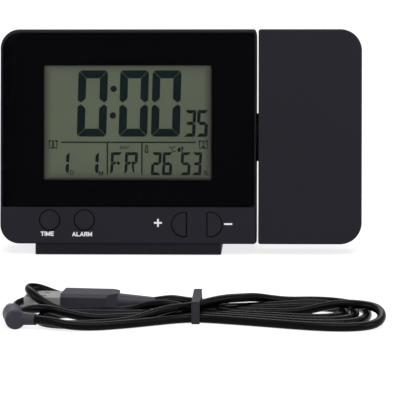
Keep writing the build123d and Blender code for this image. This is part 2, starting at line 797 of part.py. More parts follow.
def rear_casing():
    casing = body_form(0, BODY_SPLIT) - body_form(WALL, BODY_SPLIT)
    casing += lap_lip(body_block, WALL, BODY_SPLIT)
    bosses = round_set(grid(CASE_BOSS_X, CASE_BOSS_Z), BODY_SPLIT, BODY_D - WALL / 2, BOSS_R)
    inside = body_form(WALL / 2, BODY_SPLIT)
    casing += [boss & inside for boss in bosses]
    casing += battery_bay_outside()
    casing += jack_ribs()
    buzzer_wall = peg(BUZZER_X, BUZZER_Z, BODY_D - WALL - BUZZER_T, BODY_D - WALL, BUZZER_R + BUZZER_CUP_T)
    casing += buzzer_wall - peg(BUZZER_X, BUZZER_Z, 0, BODY_D, BUZZER_R + FIT)
    for x in FOOT_SCREW_X:
        casing += Pos(x, FOOT_SCREW_Y, (WALL + FOOT_BOSS_H) / 2) * Cylinder(BOSS_R, FOOT_BOSS_H - WALL)
        casing -= Pos(x, FOOT_SCREW_Y, FOOT_BOSS_H / 2) * Cylinder(CASE_SCREW_R, FOOT_BOSS_H)
    casing += hinge_boss(BODY_SPLIT, 2 * AXIS_Y)
    casing -= hinge_bore(BODY_SPLIT - LIP_L, 2 * AXIS_Y)
    casing -= axle(BODY_W - WALL - LIP_T, BODY_W, BUSH_BOSS_R) & block(0, ARM_X1, 0, BODY_SPLIT, 0, HEIGHT)
    casing -= block(BAY_X0, BAY_X1, BAY_Y0, BODY_D, BAY_Z0, BAY_Z1)
    casing -= door_outline(DOOR_CLEAR, DOOR_SEAT, BODY_D + FIT)
    casing -= tongue_slots()
    notch = LATCH_W / 2
    casing -= block(LATCH_X - notch, LATCH_X + notch, DOOR_SEAT, BODY_D + FIT, BAY_Z1, BAY_Z1 + 2 * WALL)
    places = grid(CASE_BOSS_X, CASE_BOSS_Z)
    casing -= round_set(places, BODY_SPLIT, BODY_D, CASE_SCREW_R + FIT)
    casing -= round_set(places, COUNTERBORE, BODY_D + FIT, CASE_HEAD_R + FIT)
    casing -= peg(JACK_X, JACK_Z, BODY_D - 2 * WALL, BODY_D + FIT, JACK_NOSE_R + FIT)
    casing -= round_set(grille_places(), BODY_D - 2 * WALL, BODY_D + FIT, GRILLE_R)
    for i in range(VENT_COUNT):
        x = VENT_X0 + VENT_PITCH * i
        z0 = HEIGHT - VENT_DROP - VENT_H / 2
        r = VENT_W / 2 - 0.01
        casing -= plate(x, x + VENT_W, z0, z0 + VENT_H, BODY_D - 2 * WALL, BODY_D + FIT, (r, r, r, r))
    casing -= snooze_outline(KEY_GAP, HEIGHT - 2 * WALL, HEIGHT + FIT)
    return casing


def case_screws():
    screws = []
    for x, z in grid(CASE_BOSS_X, CASE_BOSS_Z):
        head = peg(x, z, COUNTERBORE, COUNTERBORE + CASE_HEAD_T, CASE_HEAD_R)
        screws.append(head + peg(x, z, SKIN + 1, COUNTERBORE, CASE_SCREW_R))
    return group(screws)


def buzzer():
    disc = peg(BUZZER_X, BUZZER_Z, BODY_D - WALL - BUZZER_T, BODY_D - WALL, BUZZER_R)
    return disc - peg(BUZZER_X, BUZZER_Z, BODY_D - WALL - BUZZER_DISH, BODY_D - WALL, BUZZER_R - BUZZER_RIM)


def dc_jack():
    """Round socket for the lead's plug, with its centre pin."""
    half = JACK_W / 2
    z0 = JACK_Z - JACK_H / 2
    case = block(JACK_X - half, JACK_X + half, JACK_END - JACK_L, JACK_END, z0, z0 + JACK_H)
    case += peg(JACK_X, JACK_Z, JACK_END, BODY_D - JACK_NOSE_DEEP, JACK_NOSE_R)
    case -= peg(JACK_X, JACK_Z, BODY_D - JACK_BORE_L, BODY_D, JACK_BORE_R)
    return case + peg(JACK_X, JACK_Z, BODY_D - JACK_BORE_L, BODY_D - JACK_PIN_DEEP, JACK_PIN_R)


# ---- battery door, cells and contacts

def battery_door():
    """Flat door on two tongues, with a latch at its upper edge and grip grooves for the thumb."""
    door = door_outline(0, DOOR_SEAT, BODY_D)
    z0 = BAY_Z0 - BAY_WALL + DOOR_CLEAR
    half = TONGUE_W / 2
    for x in tongue_places():
        door += block(x - half, x + half, DOOR_SEAT - TONGUE_T, DOOR_SEAT, z0 - TONGUE_L, BAY_Z0 + BAY_WALL)
    half = LATCH_W / 2 - 5 * APART
    top = BAY_Z1 - 2 * APART
    door += block(LATCH_X - half, LATCH_X + half, DOOR_SEAT - LATCH_L, DOOR_SEAT, top - LATCH_T, top)
    z1 = BAY_Z1 + BAY_WALL - DOOR_CLEAR
    half = LATCH_W / 2
    out = BODY_D + FIT
    door -= block(LATCH_X - half, LATCH_X + half, BODY_D - NOTCH_DEPTH, out, z1 - BAY_WALL * 2, z1 + FIT)
    half = GRIP_W / 2
    for i in range(GRIP_COUNT):
        z = BAY_Z0 + GRIP_START + GRIP_PITCH * i
        door -= block(LATCH_X - half, LATCH_X + half, BODY_D - GRIP_DEPTH, out, z, z + GRIP_PITCH / 2)
    return door


def battery_cells():
    """Two AAA cells side by side, turned opposite ways."""
    y = BAY_Y0 + CELL_R + CELL_ROOM
    low = BAY_Z0 + CELL_R + CELL_ROOM
    high = low + 2 * (CELL_R + CELL_ROOM)
    start = BAY_X0 + CONTACT_T + SPRING_L
    cell = axle(start, start + CELL_L, CELL_R, y, low)
    cell += axle(start + CELL_L, start + CELL_L + NUB_L, NUB_R, y, low)
    end = BAY_X1 - CONTACT_T - SPRING_L
    other = axle(end - CELL_L, end, CELL_R, y, high)
    other += axle(end - CELL_L - NUB_L, end - CELL_L, NUB_R, y, high)
    return group([cell, other])


def contact_plate(x0, y, z):
    return Pos(x0 + CONTACT_T / 2, y, z) * Box(CONTACT_T, CONTACT_W, CONTACT_H)


def contact_leaf(x, side, y, z):
    """Bent leaf that presses on a cell's flat end."""
    tip = x + side * (SPRING_L - APART)
    inner = tip - side * 2 * CONTACT_T
    half = LEAF_H / 2
    root = half - 2 * CONTACT_T
    outline = ((x, z - half), (tip, z), (x, z + half), (x, z + root), (inner, z), (x, z - root))
    strip = extrude(make_face(Polyline(*outline, close=True)), amount=LEAF_W / 2, both=True)
    return Pos(0, y, 0) * Rot(90, 0, 0) * strip


def contact_bump(x, side, y, z):
    near, far = sorted((x, x + side * (2 * CONTACT_T - FIT)))
    return axle(near, far, BUMP_R, y, z)


def battery_contacts():
    """Four contact plates; the two at the cells' flat ends carry a bent leaf."""
    y = BAY_Y0 + CELL_R + CELL_ROOM
    low = BAY_Z0 + CELL_R + CELL_ROOM
    high = low + 2 * (CELL_R + CELL_ROOM)
    left = BAY_X0 + CONTACT_T
    right = BAY_X1 - CONTACT_T
    return group([
        contact_plate(BAY_X0, y, low) + contact_leaf(left, 1, y, low),
        contact_plate(BAY_X0, y, high) + contact_bump(left, 1, y, high),
        contact_plate(right, y, low) + contact_bump(right, -1, y, low),
        contact_plate(right, y, high) + contact_leaf(right, -1, y, high),
    ])


# ---- foot

def table_plane(drop):
    """Plane parallel to the table, a given distance under the body's front lower edge."""
    slope = radians(LEAN)
    return Plane(origin=(0, 0, -drop), x_dir=(1, 0, 0), z_dir=(0, -sin(slope), cos(slope)))


def table_height(y):
    """Height of the foot's flat underside at a depth y, in the upright frame."""
    return -FOOT_DROP + y * tan(radians(LEAN))


def base_foot():
    tail = table_height(FOOT_BACK)
    profile = Polyline(
        (FOOT_FRONT, table_height(FOOT_FRONT)),
        (FOOT_BACK, tail),
        (FOOT_BACK - FOOT_TAIL_SLOPE, tail + FOOT_TAIL_T),
        (BODY_D + FOOT_RISE_RUN, FOOT_TOP + FOOT_RISE),
        (BODY_D - FOOT_RISE_RUN, FOOT_TOP),
        (FOOT_FRONT, FOOT_TOP),
        close=True,
    )
    side = extrude(Plane.YZ * make_face(profile), amount=FOOT_X1)
    corners = (FOOT_FRONT_R, FOOT_FRONT_R, FOOT_REAR_R, FOOT_REAR_R)
    plan = rounded_rectangle(FOOT_X0, FOOT_X1, FOOT_FRONT, FOOT_BACK, corners)
    foot = side & Pos(0, 0, -2 * FOOT_DROP) * extrude(plan, amount=HEIGHT)
    foot -= fillet(front_rim(body_block(0, 0, BODY_SPLIT, HINGE_SIDE_R)), FRONT_EDGE_R)
    foot -= body_form(0, BODY_SPLIT)
    pad_seat = Cylinder(PAD_R + FIT, 2 * (PAD_T - PAD_PROUD))
    foot -= [table_plane(FOOT_DROP) * Pos(x, y, 0) * pad_seat for x, y in grid(PAD_X, PAD_Y)]
    for x in FOOT_SCREW_X:
        foot -= Pos(x, FOOT_SCREW_Y, 0) * Cylinder(CASE_SCREW_R + FIT, 4 * FOOT_DROP)
        foot -= Pos(x, FOOT_SCREW_Y, -FOOT_DROP - FOOT_SEAT) * Cylinder(CASE_HEAD_R + FIT, 2 * FOOT_DROP)
    return foot


def rubber_feet():
    pads = []
    for x, y in grid(PAD_X, PAD_Y):
        pad = Cylinder(PAD_R, PAD_T, align=(Align.CENTER, Align.CENTER, Align.MIN))
        pads.append(table_plane(FOOT_DROP) * Pos(x, y, -PAD_PROUD) * pad)
    return group(pads)


def foot_screws():
    screws = []
    for x in FOOT_SCREW_X:
        head = Pos(x, FOOT_SCREW_Y, -FOOT_SEAT - FOOT_HEAD_T / 2) * Cylinder(CASE_HEAD_R, FOOT_HEAD_T)
        length = FOOT_SEAT + FOOT_BOSS_H - WALL
        screws.append(head + Pos(x, FOOT_SCREW_Y, length / 2 - FOOT_SEAT) * Cylinder(CASE_SCREW_R, length))
    return group(screws)


# ---- hinge

WASHER_X = BODY_W - WALL - BUSH_BOSS_T - WASHER_T
RING_X = WASHER_X - FIT - RING_T
SHAFT_X0 = RING_X - SHAFT_TAIL
SHAFT_FLANGE_X = ARM_X0 + ARM_WALL


def hinge_bush():
    """Flanged bush, clamped between the casing halves; its flange is the hub seen in the gap."""
    bush = axle(BODY_W - WALL - BUSH_BOSS_T, BODY_W, BUSH_R)
    bush += axle(BODY_W, BODY_W + HUB_T, HUB_R)
    return bush - axle(0, ARM_X1, SHAFT_R + RUNNING)


def friction_washer():
    return axle(WASHER_X, WASHER_X + WASHER_T, WASHER_R) - axle(0, ARM_X1, SHAFT_R + FIT)


def hinge_shaft():
    shaft = axle(SHAFT_X0, SHAFT_FLANGE_X, SHAFT_R)
    half = SHAFT_FLANGE / 2
    reach = half - SHAFT_FLANGE_T
    x1 = SHAFT_FLANGE_X + SHAFT_FLANGE_T
    shaft += block(SHAFT_FLANGE_X, x1, AXIS_Y - reach, AXIS_Y + reach, AXIS_Z - half, AXIS_Z + half)
    shaft -= axle(RING_X, RING_X + RING_T, SHAFT_R) - axle(0, ARM_X1, SHAFT_R - GROOVE_DEPTH)
    return shaft - axle(0, ARM_X1, SHAFT_BORE_R)


def retaining_ring():
    """Spring clip in the groove of the shaft, open on one side."""
    ring = axle(RING_X, RING_X + RING_T, RING_R) - axle(0, ARM_X1, SHAFT_R - GROOVE_DEPTH)
    half = RING_OPENING / 2
    return ring - block(0, ARM_X1, AXIS_Y - half, AXIS_Y + half, AXIS_Z, AXIS_Z + 2 * RING_R)


def hinge_wires():
    """Wires from the main board to the projector, where they run through the hollow shaft."""
    wires = []
    x0 = SHAFT_X0 - WIRE_OVERHANG
    x1 = SHAFT_FLANGE_X + SHAFT_FLANGE_T + WIRE_OVERHANG
    for i in range(WIRE_COUNT):
        turn = radians(360 / WIRE_COUNT * i)
        y = AXIS_Y + WIRE_RING * cos(turn)
        z = AXIS_Z + WIRE_RING * sin(turn)
        wires.append(axle(x0, x1, WIRE_R, y, z))
    return group(wires)


# ---- projector arm

def arm_front_shell():
    shell = arm_block(0, 0, ARM_SPLIT, HINGE_SIDE_R)
    shell = fillet(front_rim(shell), FRONT_EDGE_R)
    shell -= arm_block(ARM_WALL, ARM_WALL, ARM_SPLIT)
    shell -= lap_rebate(arm_block, ARM_WALL, ARM_SPLIT)
    shell += round_set(grid(ARM_BOSS_X, ARM_BOSS_Z), ARM_WALL, ARM_SPLIT, BOSS_R)
    shell += round_set(board_post_places(), ARM_WALL, PROJ_BOARD_Y, BOARD_POST_R)
    shell -= round_set(grid(ARM_BOSS_X, ARM_BOSS_Z), ARM_WALL, ARM_SPLIT, CASE_SCREW_R)
    shell -= round_set(board_post_places(), ARM_WALL, PROJ_BOARD_Y, SCREW_R)
    shell -= axle(ARM_X0 - FIT, ARM_X0 + 2 * ARM_WALL, SHAFT_R + APART)
    return shell


def board_post_places():
    reach = PROJ_BOARD_W / 2 - PROJ_POST_IN
    xs = (ARM_MID - reach, ARM_MID + reach)
    zs = (PROJ_BOARD_Z0 + PROJ_POST_IN, PROJ_BOARD_Z1 - PROJ_POST_IN)
    return grid(xs, zs)


def arm_rear_shell():
    shell = arm_form(0, ARM_SPLIT) - arm_form(ARM_WALL, ARM_SPLIT)
    shell += lap_lip(arm_block, ARM_WALL, ARM_SPLIT)
    inside = arm_form(ARM_WALL / 2, ARM_SPLIT)
    places = grid(ARM_BOSS_X, ARM_BOSS_Z)
    shell += [boss & inside for boss in round_set(places, ARM_SPLIT, ARM_D - ARM_WALL / 2, BOSS_R)]
    shell -= round_set(places, ARM_SPLIT, ARM_D, CASE_SCREW_R + FIT)
    shell -= round_set(places, ARM_D - ARM_SCREW_DEPTH, ARM_D + FIT, CASE_HEAD_R + FIT)
    shell -= peg(ARM_MID, OPTIC_Z, ARM_SPLIT, ARM_D + FIT, FOCUS_OPENING_R)
    shell -= peg(FLIP_X, FLIP_Z, ARM_SPLIT, ARM_D + FIT, FLIP_R + KEY_GAP)
    shell -= axle(ARM_X0 - FIT, ARM_X0 + 2 * ARM_WALL, SHAFT_R + APART)
    return shell


def arm_screws():
    screws = []
    seat = ARM_D - ARM_SCREW_DEPTH
    for x, z in grid(ARM_BOSS_X, ARM_BOSS_Z):
        head = peg(x, z, seat, seat + CASE_HEAD_T, CASE_HEAD_R)
        screws.append(head + peg(x, z, ARM_WALL + 1, seat, CASE_SCREW_R))
    return group(screws)


def projector_board():
    x0 = ARM_MID - PROJ_BOARD_W / 2
    board = block(x0, x0 + PROJ_BOARD_W, PROJ_BOARD_Y, PROJ_BACK, PROJ_BOARD_Z0, PROJ_BOARD_Z1)
    return board - round_set(board_post_places(), PROJ_BOARD_Y, PROJ_BACK, SCREW_R)


def projector_led():
    half = LED_W / 2
    led = block(ARM_MID - half, ARM_MID + half, PROJ_BACK, PROJ_BACK + LED_T, OPTIC_Z - half, OPTIC_Z + half)
    dome = Pos(ARM_MID, PROJ_BACK + LED_T, OPTIC_Z) * Sphere(LED_DOME_R)
    above = peg(ARM_MID, OPTIC_Z, PROJ_BACK, PROJ_BACK + LED_W, LED_W)
    return led + (dome & above)


def lens_body(radius, y0, thickness, curve):
    """Lens with a flat front and a bulged back, turned about the optical axis."""
    bulge = Pos(ARM_MID, y0 + thickness - curve, OPTIC_Z) * Sphere(curve)
    return peg(ARM_MID, OPTIC_Z, y0, y0 + thickness, radius) & bulge


def condenser_lens():
    return lens_body(CONDENSER_R, CONDENSER_Y, CONDENSER_T, LENS_CURVE)


def image_cell():
    """Small display that the projector throws on the ceiling or wall."""
    half = SLIDE_W / 2
    return block(ARM_MID - half, ARM_MID + half, SLIDE_Y, SLIDE_Y + SLIDE_T, OPTIC_Z - half, OPTIC_Z + half)


def projector_housing():
    """Dark tube on the board that holds the lamp, condenser and image cell in line."""
    tube = peg(ARM_MID, OPTIC_Z, PROJ_BACK, TUBE_END_Y, TUBE_R)
    tube -= peg(ARM_MID, OPTIC_Z, PROJ_BACK, CONDENSER_Y, CONDENSER_R - LENS_LEDGE)
    tube -= peg(ARM_MID, OPTIC_Z, CONDENSER_Y, SLIDE_Y, CONDENSER_R + FIT)
    half = SLIDE_W / 2 + FIT
    end = SLIDE_Y + SLIDE_T
    tube -= block(ARM_MID - half, ARM_MID + half, SLIDE_Y, end, OPTIC_Z - half, OPTIC_Z + half)
    tube -= peg(ARM_MID, OPTIC_Z, end, TUBE_END_Y, TUBE_BORE_R)
    return tube


def lens_holder():
    """Sleeve that slides in the projector housing as the focus ring turns."""
    sleeve = peg(ARM_MID, OPTIC_Z, HOLDER_Y0, HOLDER_Y1, TUBE_BORE_R - RUNNING)
    sleeve -= peg(ARM_MID, OPTIC_Z, HOLDER_Y0, LENS_Y, HOLDER_BORE_R - LENS_LEDGE)
    return sleeve - peg(ARM_MID, OPTIC_Z, LENS_Y, HOLDER_Y1, HOLDER_BORE_R)


def projection_lens():
    return lens_body(HOLDER_BORE_R - FIT, LENS_Y, LENS_T, LENS_CURVE)


def focus_ring():
    """Knurled ring round the lens; its skirt turns in the opening of the rear shell."""
    start = ARM_D + APART
    ring = peg(ARM_MID, OPTIC_Z, start, start + FOCUS_H, FOCUS_R)
    rim = ring.faces().sort_by(Axis.Y)[-1].outer_wire().edges()
    ring = chamfer(rim, FOCUS_CHAMFER)
    ring += peg(ARM_MID, OPTIC_Z, start - FOCUS_SKIRT_L, start, FOCUS_OPENING_R - RUNNING)
    ring -= peg(ARM_MID, OPTIC_Z, start - FOCUS_SKIRT_L, start + FOCUS_H, FOCUS_BORE_R)
    for i in range(FOCUS_GRIPS):
        turn = radians(360 / FOCUS_GRIPS * i)
        x = ARM_MID + FOCUS_R * cos(turn)
        z = OPTIC_Z + FOCUS_R * sin(turn)
        ring -= peg(x, z, start + FOCUS_GRIP_R, start + FOCUS_H, FOCUS_GRIP_R)
    return ring


def flip_switch():
    half = SWITCH_W / 2
    case = block(FLIP_X - half, FLIP_X + half, PROJ_BACK, PROJ_BACK + SWITCH_T, FLIP_Z - half, FLIP_Z + half)
    return case + peg(FLIP_X, FLIP_Z, PROJ_BACK + SWITCH_T, PROJ_BACK + SWITCH_T + PLUNGER_L, PLUNGER_R)


def flip_button():
    flange_y = ARM_D - ARM_WALL - FIT
    cap = peg(FLIP_X, FLIP_Z, flange_y - 1, ARM_D + FLIP_PROUD, FLIP_R)
    cap = fillet(cap.faces().sort_by(Axis.Y)[-1].outer_wire().edges(), KEY_EDGE_R)
    cap += peg(FLIP_X, FLIP_Z, flange_y - 1, flange_y, FLIP_FLANGE_R)
    stem_end = PROJ_BACK + SWITCH_T + PLUNGER_L + FLIP_TRAVEL + FIT
    return cap + peg(FLIP_X, FLIP_Z, stem_end, flange_y - 1, KEY_STEM_R)


# ---- lead

def lead_bar(length, width, height, x0=0.0):
    """Bar along X that starts at x0, flat side down on the table."""
    return Pos(x0 + length / 2, 0, height / 2) * Box(length, width, height)


def usb_place():
    return Pos(USB_TIP[0], USB_TIP[1], 0) * Rot(0, 0, USB_HEADING)


def usb_middle():
    return USB_GRIP[2] / 2


def relief_cone(start_r, length):
    """Tapered sleeve along Z where the cord enters a plug."""
    return Cone(start_r, RELIEF_END_R, length, align=(Align.CENTER, Align.CENTER, Align.MIN))


def usb_plug_shell():
    length, width, height = USB_SHELL
    middle = Pos(length / 2, 0, usb_middle())
    outside = middle * Box(length, width, height)
    inside = middle * Pos(-USB_SHELL_T, 0, 0) * Box(length, width - 2 * USB_SHELL_T, height - 2 * USB_SHELL_T)
    shell = outside - inside
    long, wide = USB_WINDOW
    for side in (-1, 1):
        shell -= middle * Pos(0, side * width / 4, height / 2) * Box(long, wide, 4 * USB_SHELL_T)
    return usb_place() * shell


def usb_plug_tongue():
    length, width, height = USB_SHELL
    low = usb_middle() - height / 2 + USB_SHELL_T
    size = (length - 2, width - 2 * USB_SHELL_T, USB_TONGUE_T)
    return usb_place() * Pos(length / 2, 0, low + USB_TONGUE_T / 2) * Box(*size)


def usb_plug_grip():
    """Moulded grip whose rear corners slope in to the tapered sleeve round the cord."""
    length, width, height = USB_GRIP
    start = USB_SHELL[0]
    end = start + length
    shoulder = end - USB_SHOULDER_L
    half = width / 2
    neck = USB_RELIEF_R
    outline = (
        (start, -half), (shoulder, -half), (end, -neck),
        (end, neck), (shoulder, half), (start, half),
    )
    grip = extrude(make_face(Polyline(*outline, close=True)), amount=height)
    long_edges = [edge for edge in grip.edges() if abs(edge.center().Z - usb_middle()) > height / 4]
    grip = chamfer([edge for edge in long_edges if edge.length > width], USB_GRIP_EDGE_R)
    grip += Pos(end, 0, usb_middle()) * Rot(0, 90, 0) * relief_cone(USB_RELIEF_R, USB_RELIEF_L)
    return usb_place() * grip


def dc_place():
    return Pos(DC_TIP[0], DC_TIP[1], DC_GRIP_R) * Rot(0, 0, DC_HEADING) * Rot(0, 90, 0)


def dc_elbow_place():
    """Where the right-angle plug's cord sleeve starts, inside its grip, heading along the cord."""
    reach = DC_BARREL_L + DC_GRIP_L - DC_GRIP_R
    x = DC_TIP[0] + reach * cos(radians(DC_HEADING))
    y = DC_TIP[1] + reach * sin(radians(DC_HEADING))
    return Pos(x, y, DC_GRIP_R) * Rot(0, 0, DC_EXIT_HEADING) * Rot(0, 90, 0)


def lead_rod(r, start, length):
    """Round bar along a plug's own axis."""
    return Pos(0, 0, start + length / 2) * Cylinder(r, length)


def dc_plug_barrel():
    barrel = lead_rod(DC_BARREL_R, 0, DC_BARREL_L) - lead_rod(DC_BORE_R, 0, DC_BARREL_L - 1)
    return dc_place() * barrel


def dc_plug_grip():
    """Right-angle grip: a short bar on the barrel's axis with the cord's sleeve at its side."""
    grip = lead_rod(DC_GRIP_R, DC_BARREL_L, DC_GRIP_L)
    grip = chamfer(grip.edges().filter_by(GeomType.CIRCLE), DC_GRIP_EDGE)
    return dc_place() * grip + dc_elbow_place() * relief_cone(DC_RELIEF_R, DC_RELIEF_L)


HANK_OUTLINE = (
    (-70.2, 8.0), (-68.6, 18.5), (-61.5, 26.6), (-50.0, 28.2), (-34.0, 24.2), (-17.0, 17.6), (-6.0, 11.6),
    (4.0, 10.4), (16.0, 12.0), (27.5, 19.4), (42.0, 23.9), (54.0, 20.8), (62.4, 11.4), (65.8, -1.0),
    (69.6, -9.0), (67.4, -19.6), (57.0, -24.8), (40.0, -22.6), (20.0, -15.8), (0.0, -10.8),
    (-14.0, -15.6), (-28.0, -22.8), (-42.0, -25.6), (-54.0, -24.0), (-59.2, -17.0), (-60.0, -9.5),
    (-66.0, -3.4),
)
HANK_OPENINGS = (
    ((-61.5, 12.0), (-56.0, 19.6), (-46.0, 19.6), (-30.0, 14.6), (-18.5, 8.5), (-26.0, 4.2), (-42.0, 3.2)),
    ((-52.5, -6.4), (-44.0, -4.3), (-30.0, -4.5), (-22.0, -5.2), (-31.0, -7.2), (-44.0, -8.6)),
    ((-54.5, -13.5), (-46.0, -12.6), (-34.0, -12.2), (-25.0, -11.6), (-34.0, -16.4), (-45.0, -18.2)),
    ((18.0, 4.2), (30.0, 7.0), (42.0, 9.0), (51.0, 7.4), (52.5, 4.0), (42.0, 3.0), (30.0, 3.2)),
    ((16.0, -0.6), (30.0, -0.8), (44.0, -0.8), (52.0, -1.8), (50.5, -5.4), (43.0, -6.4), (30.0, -4.0)),
)


def closed_curve(points):
    return make_face(Spline(*points, periodic=True))


def plug_room():
    """Space round both plugs that the cord leaves free, ending where each plug meets the cord."""
    length, width, height = USB_SHELL
    room = lead_bar(length + TIE_W, width + 4 * APART, usb_middle() + height / 2 + APART, -TIE_W)
    room += lead_bar(USB_GRIP[0] + 2 * APART, USB_GRIP[1] + 2 * APART, 2 * HANK_H, length - APART)
    room += lead_bar(USB_RELIEF_L, 2 * (USB_RELIEF_R + APART), 2 * HANK_H, length + USB_GRIP[0])
    reach = DC_BARREL_L + DC_GRIP_L
    radius = DC_GRIP_R + APART
    dc_room = Pos(0, 0, (reach + APART) / 2) * Box(4 * DC_GRIP_R, 2 * radius, reach + APART)
    dc_side = Pos(0, 0, DC_RELIEF_L / 2) * Box(4 * DC_GRIP_R, 2 * radius, DC_RELIEF_L)
    return usb_place() * room + dc_place() * dc_room + dc_elbow_place() * dc_side


def lead_hank():
    """Outer shape of the folded cord: its open lobes and the waist that the tie holds."""
    hank = extrude(closed_curve(HANK_OUTLINE), amount=HANK_H)
    hank -= [extrude(closed_curve(points), amount=HANK_H) for points in HANK_OPENINGS]
    return hank - plug_room()


def tie_band():
    """Slice of the hank's outline under the tie, grown by the tie's thickness."""
    length = 4 * HANK_H
    slice_box = Pos(0, 0, HANK_H / 2) * Box(TIE_W, length, HANK_H)
    waist = extrude(closed_curve(HANK_OUTLINE), amount=HANK_H) & slice_box
    box = waist.bounding_box()
    middle = (box.min.Y + box.max.Y) / 2
    band = Pos(0, middle, (HANK_H + TIE_T) / 2) * Box(TIE_W, box.size.Y + 2 * TIE_T, HANK_H + TIE_T)
    return band - waist, box.max.Y + TIE_T


def twist_tie():
    """Flat tie round the waist, its ends twisted into a small pointed loop on the far side."""
    band, y0 = tie_band()
    half = TIE_LOOP_W / 2
    outline = Polyline((-half, y0), (half, y0), (0, y0 + TIE_LOOP_L), close=True)
    loop = make_face(outline) - Pos(0, y0 + TIE_LOOP_L / 3) * Circle(TIE_LOOP_HOLE_R)
    return band + Pos(0, 0, TIE_T) * extrude(loop, amount=TIE_W)


# ---- the whole, in its own frame

UPRIGHT = {
    "front_casing": front_casing,
    "display_window": display_window,
    "window_mask": window_mask,
    "lcd_glass": lcd_glass,
    "lcd_frame": lcd_frame,
    "backlight": backlight,
    "zebra_strips": zebra_strips,
    "main_board": main_board,
    "board_parts": board_parts,
    "board_screws": board_screws,
    "tact_switches": tact_switches,
    "climate_sensor": climate_sensor,
    "time_button": lambda: front_button("time"),
    "alarm_button": lambda: front_button("alarm"),
    "plus_button": lambda: front_button("plus"),
    "minus_button": lambda: front_button("minus"),
    "snooze_bar": snooze_bar,
    "rear_casing": rear_casing,
    "case_screws": case_screws,
    "buzzer": buzzer,
    "dc_jack": dc_jack,
    "battery_door": battery_door,
    "battery_cells": battery_cells,
    "battery_contacts": battery_contacts,
    "base_foot": base_foot,
    "rubber_feet": rubber_feet,
    "foot_screws": foot_screws,
    "hinge_bush": hinge_bush,
    "friction_washer": friction_washer,
    "hinge_shaft": hinge_shaft,
    "retaining_ring": retaining_ring,
    "hinge_wires": hinge_wires,
    "arm_front_shell": arm_front_shell,
    "arm_rear_shell": arm_rear_shell,
    "arm_screws": arm_screws,
    "projector_board": projector_board,
    "projector_led": projector_led,
    "condenser_lens": condenser_lens,
    "image_cell": image_cell,
    "projector_housing": projector_housing,
    "lens_holder": lens_holder,
    "projection_lens": projection_lens,
    "focus_ring": focus_ring,
    "flip_switch": flip_switch,
    "flip_button": flip_button,
}
ON_TABLE = {
    "usb_plug_shell": usb_plug_shell,
    "usb_plug_tongue": usb_plug_tongue,
    "usb_plug_grip": usb_plug_grip,
    "dc_plug_barrel": dc_plug_barrel,
    "dc_plug_grip": dc_plug_grip,
    "lead_hank": lead_hank,
    "twist_tie": twist_tie,
}


def home_of(shapes):
    """Shift that puts the middle of the underside of the clock's box at the origin."""
    boxes = [shape.bounding_box() for shape in shapes]
    x0 = min(box.min.X for box in boxes)
    x1 = max(box.max.X for box in boxes)
    y0 = min(box.min.Y for box in boxes)
    y1 = max(box.max.Y for box in boxes)
    return Pos(-(x0 + x1) / 2, -(y0 + y1) / 2, -min(box.min.Z for box in boxes))


def main():
    os.makedirs("parts", exist_ok=True)
    tilt = Rot(-LEAN, 0, 0)
    clock = {name: tilt * make() for name, make in UPRIGHT.items()}
    home = home_of(clock.values())
    for name, shape in clock.items():
        export_step(home * shape, f"parts/{name}.step")
    for name, make in ON_TABLE.items():
        export_step(Pos(LEAD_X, LEAD_Y, 0) * make(), f"parts/{name}.step")


main()
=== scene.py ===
import bpy
import bmesh
import math
from mathutils import Matrix, Vector


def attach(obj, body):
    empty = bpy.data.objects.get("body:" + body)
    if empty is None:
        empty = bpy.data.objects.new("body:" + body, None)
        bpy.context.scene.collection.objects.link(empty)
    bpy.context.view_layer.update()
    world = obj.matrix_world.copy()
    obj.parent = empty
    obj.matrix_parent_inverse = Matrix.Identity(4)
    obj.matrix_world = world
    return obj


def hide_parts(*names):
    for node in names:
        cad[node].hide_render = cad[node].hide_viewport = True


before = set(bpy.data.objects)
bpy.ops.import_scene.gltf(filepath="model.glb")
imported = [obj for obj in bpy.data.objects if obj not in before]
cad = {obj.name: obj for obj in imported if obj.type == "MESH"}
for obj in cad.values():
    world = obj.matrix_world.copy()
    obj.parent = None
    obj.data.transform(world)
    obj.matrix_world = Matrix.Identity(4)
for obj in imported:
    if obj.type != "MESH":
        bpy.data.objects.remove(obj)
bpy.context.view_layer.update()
MM = 0.001

# ---- studio
# A plain table with four soft boxes round it. It has a glow that only the camera, reflections and
# clear pieces see, so it looks white but for a soft shadow under the clock. The camera looks square
# on the leaned front, a little from the right.


class Shade:
    """One output of a shader tree, usable in sums as if it were a number."""

    def __init__(self, tree, socket):
        self.tree = tree
        self.socket = socket

    def node(self, kind, settings, inputs, output=0):
        """Adds a node with its settings and inputs to the tree, and gives one of its outputs."""
        made = self.tree.nodes.new(kind)
        for key, value in settings.items():
            setattr(made, key, value)
        for key, value in inputs.items():
            if isinstance(value, Shade):
                self.tree.links.new(value.socket, made.inputs[key])
            else:
                made.inputs[key].default_value = value
        return Shade(self.tree, made.outputs[output])

    def maths(self, operation, other, first=None):
        """One operation on this value, or on the first one if it is given, and another."""
        values = {0: self if first is None else first, 1: other}
        return self.node("ShaderNodeMath", {"operation": operation}, values)

    def __add__(self, other):
        return self.maths("ADD", other)

    def __sub__(self, other):
        return self.maths("SUBTRACT", other)

    def __rsub__(self, other):
        return self.maths("SUBTRACT", self, other)

    def __mul__(self, other):
        return self.maths("MULTIPLY", other)

    def over(self, low, high):
        """0 where the value is under low, 1 over high, and smooth between."""
        limits = {"Value": self, "From Min": low, "From Max": high}
        return self.node("ShaderNodeMapRange", {"interpolation_type": "SMOOTHSTEP"}, limits)

    def blend(self, first, second):
        """Colour that goes from the first to the second as the value goes from 0 to 1."""
        return self.node("ShaderNodeMix", {"data_type": "RGBA"}, {0: self, 6: first, 7: second}, 2)

    __radd__ = __add__
    __rmul__ = __mul__


def flat(colour):
    return (*colour, 1.0)


